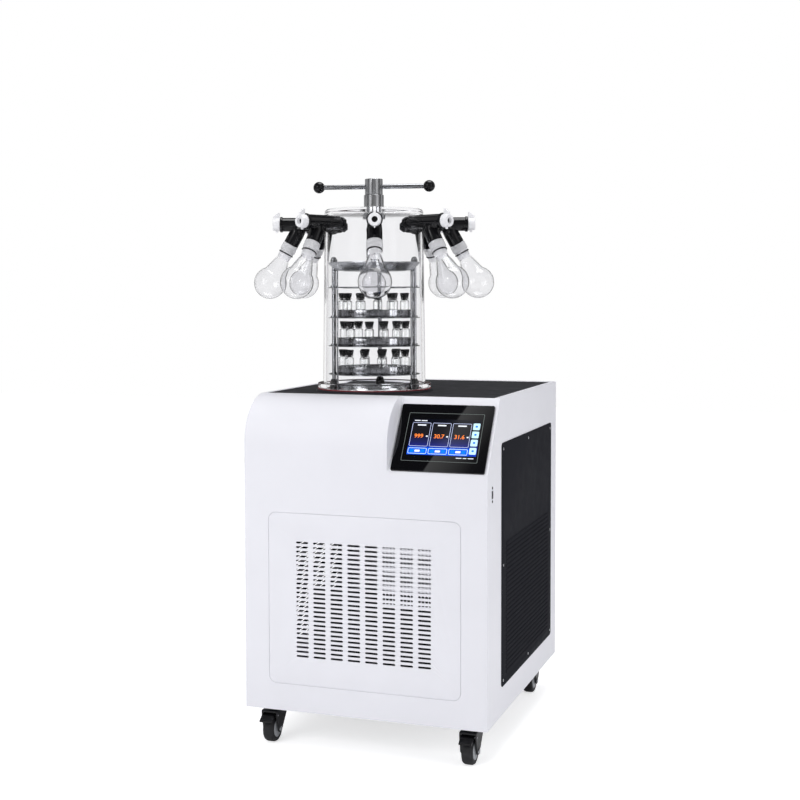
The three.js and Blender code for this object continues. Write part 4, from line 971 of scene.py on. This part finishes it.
def rack():
    parts = [rod("shelf", 110.3, height - 2, height, steel_inner, 128, 0.8) for height in SHELVES]
    for spot in RACK_POSTS:
        nut = prism("nut", polygon(0, 0, 8.2, 6), 311.5, 317.5, steel_inner)
        pieces = [
            turned("foot", [(0, 5), (11, 5, 1), (11, 21, 1), (7, 29, 1), (0, 29)], black_hood, 40),
            rod("post", 5, 15, 313, steel_inner, 32),
            soften(nut, 0.5, 2),
            turned("dome", [
                (0, 316), (6.6, 316), (6.6, 319.5, 1), (5.2, 322.2, 2), (2.4, 323.8, 1.5), (0, 324),
            ], steel_inner, 32),
        ]
        for h in SHELVES[1:]:
            collar = [(5, h), (8, h, 0.6), (8, h + 4, 0.6), (5, h + 4)]
            pieces.append(turned("collar", collar, steel_inner, 32))
        parts += [moved(piece, shift(*spot, 0)) for piece in pieces]
    stand(joined("rack", parts), "stainless", "rack_frame", by=(RACK_TURN,))
    for i, height in enumerate(SHELVES[:3], 1):
        tray = turned(f"tray_pan_{i}", [
            (0, height + 0.3), (89, height + 0.3, 2.5), (90, height + 17.8, 0.4),
            (89, height + 17.8, 0.4), (88, height + 1.3, 2), (0, height + 1.3),
        ], steel_inner, 128)
        stand(tray, "stainless", f"tray_{i}")
    guides = [
        moved(turned("guide", [(0, 5.5), (2, 5.5, 0.5), (2, 290, 0.5), (0, 290)], steel_inner, 16),
              shift(*spot, 0))
        for spot in GUIDE_RODS
    ]
    stand(joined("guide_rods", guides), "stainless", by=(RACK_TURN,))


# Where the vials stand on each shelf, as (across, away) from the chamber's axis, in a frame
# turned with the rack.
VIALS = [
    [(-75, -2), (-60, -40), (-24, -66), (17, -70), (51, -50), (74, -12), (-22, 20), (20, 10), (54, 32)],
    [(-72, -14), (-57, -44), (-38, 8), (-12, -70), (22, -66), (53, -48), (75, -8), (24, 12), (56, 30)],
    [(-75, -6), (-64, -38), (-32, -62), (8, -30), (45, -58), (73, -18), (-34, 30), (42, 30)],
]


def vials():
    glass, stoppers = [], []
    for height, spots in zip(SHELVES, VIALS):
        for across, away in spots:
            spot = shift(across, away, height + 1.4)
            glass.append(moved(turned("vial", [
                (0, 0.05), (11, 0.05, 1.6), (11, 36.8, 2.2), (7.3, 39.8, 0.8), (7.3, 41.2, 0.3),
                (9.8, 41.7, 0.4), (9.8, 44.5, 0.5), (6.5, 44.5, 0.4), (6.3, 39.4, 0.8), (10.1, 36, 1.8),
                (10.1, 1.4, 1.4), (0, 1.4),
            ], vial_glass, 40, 3), spot))
            stoppers.append(moved(turned("stopper", [
                (0, 38.5), (5.6, 38.5, 0.8), (6.1, 44.6), (8.6, 44.7, 0.4), (10.3, 51, 0.8),
                (11, 56.6, 1.2), (0, 57),
            ], stopper_rubber, 32, 3), spot))
    vial_set = joined("vials", glass)
    vial_set.visible_shadow = False
    stand(vial_set, "glass", by=(RACK_TURN,))
    stand(joined("vial_stoppers", stoppers), "red_rubber", by=(RACK_TURN,))


cold_trap()
bell()
handle()
press()
rack()
vials()


# ---- flask valves

# The flask hangs down a branch that leaves the valve at this distance from the bell's axis.
BRANCH_AT = 174
BRANCH = (turn("Y", 180 - 29), shift(BRANCH_AT, 0, 0))
BULB_RADIUS = 38.4
BULB_MIDDLE = 160  # down the branch
BULB_WALL = 1.8
FROST = (80, 94)  # the ground part of the neck, down the branch


def valve_body():
    """A valve in its own frame, X along the valve: nut, barrel and branch."""
    nut = soften(prism("nut", polygon(0, 0, 14.4, 6), 103.3, 111.3, black_hood), 0.8, 2)
    combine(nut, [rod("hole", 4.9, 100, 150, None, 32)])
    moved(nut, ALONG_X)
    barrel = moved(turned("barrel", [
        (4.9, 110), (10, 110), (10, 119.5), (16.5, 119.5, 1.8), (16.5, 219.6, 0.6), (18.5, 220.2, 1),
        (18.5, 226, 1), (8.1, 226, 0.6), (8.1, 199.7), (0, 199.7), (0, 150), (4.9, 150),
    ], black_plastic, 72), ALONG_X)
    branch = turned("branch", [
        (0, 9), (16.6, 9), (18, 26, 4), (18, 55, 1.4), (12, 55, 0.6), (12, 67, 1), (9.6, 74, 0.8),
        (5, 74), (5, 58), (0, 58),
    ], black_plastic, 72)
    combine(barrel, [moved(branch, *BRANCH)], "UNION")
    return smooth(joined("valve_body", [nut, barrel]), 40)


def valve_knob():
    """A stopcock: the grip with its lever and pointer, and the eye in its end."""
    face = 226.3
    end = face + 17.5
    grip = moved(turned("grip", [
        (0, 200), (7.7, 200, 0.5), (7.7, face), (15.5, face, 0.8), (15.5, face + 3, 1), (13.9, end, 1.4),
        (7, end, 0.8), (7, end - 8), (0, end - 8),
    ], white_plastic, 64), ALONG_X)
    blade = filleted([
        (face + 0.6, 11), (face + 0.6, 28.6, 2), (face + 4, 29.3, 2), (end - 1.2, 19.5, 2.5), (end - 2, 11),
    ], 5)
    lever = soften(moved(prism("lever", blade, -2.9, 2.9, white_plastic), XZ), 0.9, 3)
    tip = [(-2.6, -13), (2.6, -13), (0.6, -19.3), (-0.6, -19.3)]
    pointer = soften(moved(prism("pointer", tip, face + 5, face + 11, white_plastic), YZ), 0.4, 2)
    eye = [(0, end - 8.5), (6.9, end - 8.5), (6.9, end - 7.6, 0.4), (0, end - 7.2)]
    combine(grip, [lever, pointer], "UNION")
    pieces = [grip, moved(turned("eye", eye, black_plastic, 40), ALONG_X)]
    return smooth(joined("valve_knob", pieces), 40)


def flask_parts():
    """The coupling collar, its O-ring and the flask, which hang down the branch."""
    collar = turned("flask_collar", [
        (12.4, 55.4), (18.7, 55.4, 1.2), (18.9, 61.5, 0.4), (18.3, 62, 0.3), (18.3, 63, 0.3),
        (18.9, 63.5, 0.4), (18.9, 72, 1.2), (17.2, 73.5, 1), (16.9, 77.6, 0.5), (12.4, 77.6),
    ], collar_plastic, 64)
    ring = turned("flask_ring", [
        (14, 77.7), (18.3, 77.7, 1.2), (18.3, 80.6, 1.2), (14, 80.6),
    ], ring_rubber, 64)
    outer = [(12.4, 80.7), (16.2, 80.7, 0.6), (15.2, 93, 2)]
    inner = []
    for i in range(1, 25):
        a = math.radians(-52 + 142 * i / 24)
        across = math.cos(a) if i < 24 else 0
        for side, radius in ((outer, BULB_RADIUS), (inner, BULB_RADIUS - BULB_WALL)):
            side.append((radius * across, BULB_MIDDLE + radius * math.sin(a)))
    flask = turned("flask_bulb", [*outer, *inner[::-1], (12.6, 95, 3), (12.4, 90)], flask_glass, 72)
    flask.data.materials.append(frosted_glass)
    for face in flask.data.polygons:
        if FROST[0] * MM < face.center.z < FROST[1] * MM:
            face.material_index = 1
    return [smooth(moved(piece, *BRANCH), 40) for piece in (collar, ring, flask)]


def valves():
    collar, ring, flask = flask_parts()
    kinds = (
        (valve_body(), "valve", "black_plastic", "valve_body"),
        (valve_knob(), "stopcock_grip", "white_plastic", "valve_knob"),
        (flask, "flask_bulb", "glass", "flask"),
        (collar, "flask_collar", "white_plastic", None),
        (ring, "flask_ring", "black_plastic", None),
    )
    for i, angle in enumerate(VALVE_ANGLES, 1):
        for piece, name, slot, node in kinds:
            made = moved(copy_of(piece, f"{name}_{i}"), turn("Z", angle), shift(0, 0, VALVE_HEIGHT), CHAMBER)
            made.visible_shadow = piece not in (flask, collar)
            body = f"stopcock_{i}" if node == "valve_knob" else "root"
            place(made, slot, *([f"{node}_{i}"] if node else []), body=body)
    for piece, *_ in kinds:
        bpy.data.objects.remove(piece)


valves()


# ---- casters

# From the casing's left front corner.
CASTERS = {
    "front_left": (50, 62), "front_right": (530, 62),
    "back_left": (50, 648), "back_right": (530, 648),
}
WHEEL = 31.5
TRAIL = 22
FORK_TOP = BASE - 3.4
AT_AXLE = (ALONG_X, shift(0, -TRAIL, WHEEL))
PEDAL_Y, PEDAL_Z = -36, 66
AT_PEDAL = (ALONG_X, shift(0, PEDAL_Y, PEDAL_Z))


def fork(braked):
    """A pressed hood that narrows to the axle, a swivel race on top, and the axle."""
    web = FORK_TOP - 8
    outline = filleted([
        (-42, web, 3), (17, web, 5), (17, web - 14, 8), (-12, WHEEL - 6, 5), (-18, WHEEL - 9, 4),
        (-26, WHEEL - 9, 4), (-32, WHEEL - 4, 4), (-41, web - 16, 8),
    ], 6)
    hood = moved(prism("hood", outline, -20, 20, black_hood), YZ)
    combine(hood, [block("slot", (-17, -70, -10), (17, 70, web - 5))])
    soften(hood, 1, 3, 35)
    race = turned("race", [
        (0, web - 1), (21, web - 1), (21.5, web + 3, 1), (19.5, FORK_TOP, 1), (0, FORK_TOP),
    ], black_hood, 48)
    combine(race, [rod("hole", 5.6, web - 10, web + 20, None, 24)])
    turnings = [
        moved(rod("axle", 4, -22, 22, steel_turned, 24, 0.8), *AT_AXLE),
        moved(turned("head", [(0, 20), (6, 20), (6, 22.4, 0.8), (0, 22.4)], steel_turned, 32), *AT_AXLE),
        moved(turned("head", [(0, -22.4), (6, -22.4, 0.8), (6, -20), (0, -20)], steel_turned, 32), *AT_AXLE),
    ]
    if braked:
        turnings.append(moved(rod("pin", 2, -21, 21, steel_turned, 16, 0.5), *AT_PEDAL))
    return joined("fork", [hood, smooth(race), *map(smooth, turnings)])


def wheel():
    half, boss = 13, 15.5
    tyre = turned("tyre", [
        (18, -half + 1), (24, -half), (28.5, -half, 3), (WHEEL, -half + 5, 4), (WHEEL, half - 5, 4),
        (28.5, half, 3), (24, half), (18, half - 1),
    ], tyre_rubber, 72)
    hub = turned("hub", [
        (4.4, -boss), (8, -boss, 0.8), (10, -half - 0.4, 1), (17, -half - 1.2, 0.8), (20.5, -half, 1),
        (20.5, half, 1), (17, half + 1.2, 0.8), (10, half + 0.4, 1), (8, boss, 0.8), (4.4, boss),
    ], wheel_hub, 72)
    return joined("wheel", [smooth(moved(piece, *AT_AXLE)) for piece in (tyre, hub)])


def pedal():
    y, z = PEDAL_Y, PEDAL_Z
    blade = filleted([
        (y, z + 4.2, 2), (y - 14, z + 1.8, 6), (y - 28, z - 7.4, 2), (y - 29, z - 11, 1),
        (y - 26, z - 11.6, 1), (y - 13, z - 3, 5), (y, z - 3.6, 2),
    ], 4)
    tread = moved(prism("tread", blade, -15, 15, black_plastic), YZ)
    combine(tread, [moved(rod("pedal_hub", 4.4, -15, 15, black_plastic, 24, 0.5), *AT_PEDAL)], "UNION")
    ribs = []
    for i in range(3):
        at = y - 17 - 4.2 * i
        top = z + 0.9 - 3.1 * (i + 0.4)
        ribs.append(block("rib", (-12, at - 0.7, top - 3.5), (12, at + 0.7, top), black_plastic, 0.5))
    combine(tread, ribs, "UNION")
    combine(tread, [moved(rod("bore", 2.5, -20, 20, None, 16), *AT_PEDAL)])
    return soften(tread, 0.6, 2, 40)


def casters():
    forks = {True: fork(True), False: fork(False)}
    roller, brake = wheel(), pedal()
    for corner, (x, y) in CASTERS.items():
        braked = corner.startswith("front")
        kinds = [
            (forks[braked], "fork", "swivel", "black_plastic", "caster_fork"),
            (roller, "roller", "wheel", "tyre", "caster_wheel"),
            (brake, "brake", "pedal", "black_plastic", "brake_pedal"),
        ]
        for piece, name, body, slot, node in kinds if braked else kinds[:2]:
            made = moved(copy_of(piece, f"{name}_{corner}"), shift(LEFT + x, FRONT + y, 0))
            place(made, slot, f"{node}_{corner}", body=f"{body}_{corner}")
    for piece in (*forks.values(), roller, brake):
        bpy.data.objects.remove(piece)


casters()


# ---- refrigeration

def refrigeration():
    shell = cad_copy("compressor", "compressor_shell", black_paint, 4, 3, 15)
    place(shell, "black_paint", "compressor")
    coil = [cad_copy("condenser", "condenser_block", coil_black, 0.5, 2, 35)]
    low, high = corners("condenser")
    for i in range(56):
        x = low[0] + 14 + i * (high[0] - low[0] - 28) / 55
        start, end = (x - 0.25, low[1] + 2, low[2] + 11), (x + 0.25, low[1] + 31, high[2] - 11)
        coil.append(block("fin", start, end, coil_black))
    for i in range(9):
        tube = rod("tube", 4.5, low[0] + 8, high[0] - 8, pan_zinc, 16)
        coil.append(moved(tube, ALONG_X, shift(0, low[1] + 14, low[2] + 24 + i * 27.5)))
    place(smooth(joined("condenser_body", coil)), "fin_aluminium", "condenser")
    fan = cad_copy("condenser_fan", "fan_blades", black_plastic, 0.6, 2, 35)
    place(fan, "black_plastic", "condenser_fan", body="fan")


refrigeration()


# ---- studio

EYE = Vector((LEFT * MM + 1.3293, FRONT * MM - 2.8484, 1.0517))
LENS = 61.19
LENS_SHIFT = (0.0498, -0.0495)
EYE_TURN = (87.149, 0.205, 20.092)
GLARE_WIDTH = 0.04
FLOOR_GLOW = 0.62


def calculated(tree, operation, first, second):
    """A maths node between outputs or numbers."""
    return add(tree, "Math", {0: first, 1: second}, operation=operation).outputs["Value"]


def seen_plainly(tree):
    """One for what the camera sees itself or through glass, and one for what metal mirrors."""
    path = add(tree, "LightPath").outputs
    plain = calculated(tree, "LESS_THAN", path["Diffuse Depth"], 0.5)
    glossy = calculated(tree, "GREATER_THAN", path["Glossy Depth"], 0.5)
    # A ray that has passed one or two surfaces only glanced about inside a clear wall.
    outside = calculated(tree, "LESS_THAN", path["Transmission Depth"], 0.5)
    behind = calculated(tree, "GREATER_THAN", path["Transmission Depth"], 3.5)
    on_metal = calculated(tree, "MAXIMUM", outside, behind)
    mirrored = calculated(tree, "MULTIPLY", calculated(tree, "MULTIPLY", glossy, plain), on_metal)
    clear_ray = calculated(tree, "MULTIPLY", path["Is Transmission Ray"], plain)
    through = calculated(tree, "MULTIPLY", clear_ray, calculated(tree, "SUBTRACT", 1, mirrored))
    return calculated(tree, "MAXIMUM", path["Is Camera Ray"], through), mirrored


def glare_plane():
    """The plane of a panel's edge that the display mirrors on a slant, from its head to its foot."""
    out = FACET.to_3x3() @ Vector((0, 0, 1))
    mirrored = []
    for x, y in ((39, 85), (-35, -85), (108, 0)):
        spot = FACET @ Vector((x * MM, y * MM, 0))
        mirrored.append((spot - EYE).normalized().reflect(out))
    plane = mirrored[0].cross(mirrored[1]).normalized()
    return plane if plane.dot(mirrored[2]) > 0 else -plane


def sky():
    """White to the camera and through glass, panels and flags in gloss, plain light for the rest."""
    world = bpy.data.worlds.new("studio")
    bpy.context.scene.world = world
    world.use_nodes = True
    tree = world.node_tree
    tree.nodes.clear()

    def light(color, strength=1.0):
        return add(tree, "Background", {"Color": color, "Strength": strength}).outputs["Background"]

    def switched(factor, first, second):
        return add(tree, "MixShader", {"Fac": factor, 1: first, 2: second}).outputs["Shader"]

    seen, mirrored = seen_plainly(tree)
    way = add(tree, "TexCoord").outputs["Generated"]
    split = add(tree, "SeparateXYZ", {"Vector": way}).outputs
    angle = calculated(tree, "ARCTAN2", split["Y"], split["X"])
    turned_by = add(tree, "MapRange", {"Value": angle, "From Min": -math.pi, "From Max": math.pi})
    # Bright panels stand between dark flags all round, and one panel hangs overhead.
    round_about = graded(tree, turned_by.outputs["Result"], (
        (0, 0.5), (0.04, 0.6), (0.07, 0.1), (0.13, 0.08), (0.155, 0.95), (0.2, 1.0), (0.225, 0.12),
        (0.28, 0.2), (0.33, 0.35), (0.36, 0.12), (0.4, 0.9), (0.45, 0.95), (0.475, 0.1), (0.56, 0.14),
        (0.59, 0.7), (0.63, 0.6), (0.655, 0.1), (0.84, 0.12), (0.87, 0.8), (0.9, 0.7), (0.93, 0.1),
        (1, 0.5),
    ))
    beside = add(tree, "VectorMath", {0: way, 1: glare_plane() / GLARE_WIDTH}, operation="DOT_PRODUCT")
    glare = graded(tree, beside.outputs["Value"], (
        (0, 0.03), (0.02, 1.0), (0.25, 0.7), (0.7, 0.1), (1, 0.03),
    ))
    upper = graded(tree, split["Z"], ((0, 0), (0.6, 0), (0.74, 1), (1, 1)))
    overhead = graded(tree, split["Z"], ((0, 0), (0.9, 0), (0.95, 1), (1, 1)))
    panels = blended(tree, overhead, blended(tree, upper, round_about, glare), (0.95, 0.96, 1, 1))
    unseen = switched(mirrored, light((0.97, 0.975, 1, 1), 0.5), light(panels))
    add(tree, "OutputWorld", {"Surface": switched(seen, unseen, light((1, 1, 1, 1)))})


def floor():
    """Pale ground that the camera sees as white, and that keeps the object's shadow."""
    material = bpy.data.materials.new("floor_white")
    material.use_nodes = True
    tree = material.node_tree
    tree.nodes.clear()
    diffuse = add(tree, "BsdfDiffuse", {"Color": (0.9, 0.9, 0.91, 1)})
    strength = calculated(tree, "MULTIPLY", seen_plainly(tree)[0], FLOOR_GLOW)
    glow = add(tree, "Emission", {"Strength": strength})
    both = add(tree, "AddShader", {0: diffuse.outputs["BSDF"], 1: glow.outputs["Emission"]})
    add(tree, "OutputMaterial", {"Surface": both.outputs["Shader"]})
    block("floor", (-9000, -9000, -20), (9000, 9000, -0.2), material)


def lamp(name, spot, aim, size, power, mirrored=True):
    data = bpy.data.lights.new(name, "AREA")
    data.shape = "RECTANGLE"
    data.size, data.size_y = size
    data.energy = power
    obj = linked(name, data)
    obj.location = spot
    obj.rotation_euler = (Vector(aim) - Vector(spot)).to_track_quat("-Z", "Y").to_euler()
    obj.visible_glossy = mirrored


def camera():
    data = bpy.data.cameras.new("camera")
    data.lens = LENS
    data.shift_x, data.shift_y = LENS_SHIFT
    data.sensor_width = 36
    obj = linked("camera", data)
    obj.location = EYE
    obj.rotation_mode = "XYZ"
    obj.rotation_euler = [math.radians(angle) for angle in EYE_TURN]
    bpy.context.scene.camera = obj


sky()
floor()
lamp("key", (-1.2, -3.0, 1.7), (0, 0, 0.6), (1.8, 1.8), 37.5, mirrored=False)
lamp("spark", (-0.9, -2.8, 2.3), (0, 0, 0.8), (0.3, 0.3), 3)
lamp("top", (0.2, 0.2, 3.4), (0, 0, 1.0), (1.6, 1.6), 38)
lamp("side", (3.0, -0.6, 0.7), (0.2, 0, 0.4), (1.2, 2.0), 26, mirrored=False)
camera()
scene = bpy.context.scene
scene.view_settings.view_transform = "Standard"
scene.cycles.max_bounces = 16
scene.cycles.glossy_bounces = 12
scene.cycles.transmission_bounces = 16
scene.cycles.transparent_max_bounces = 16
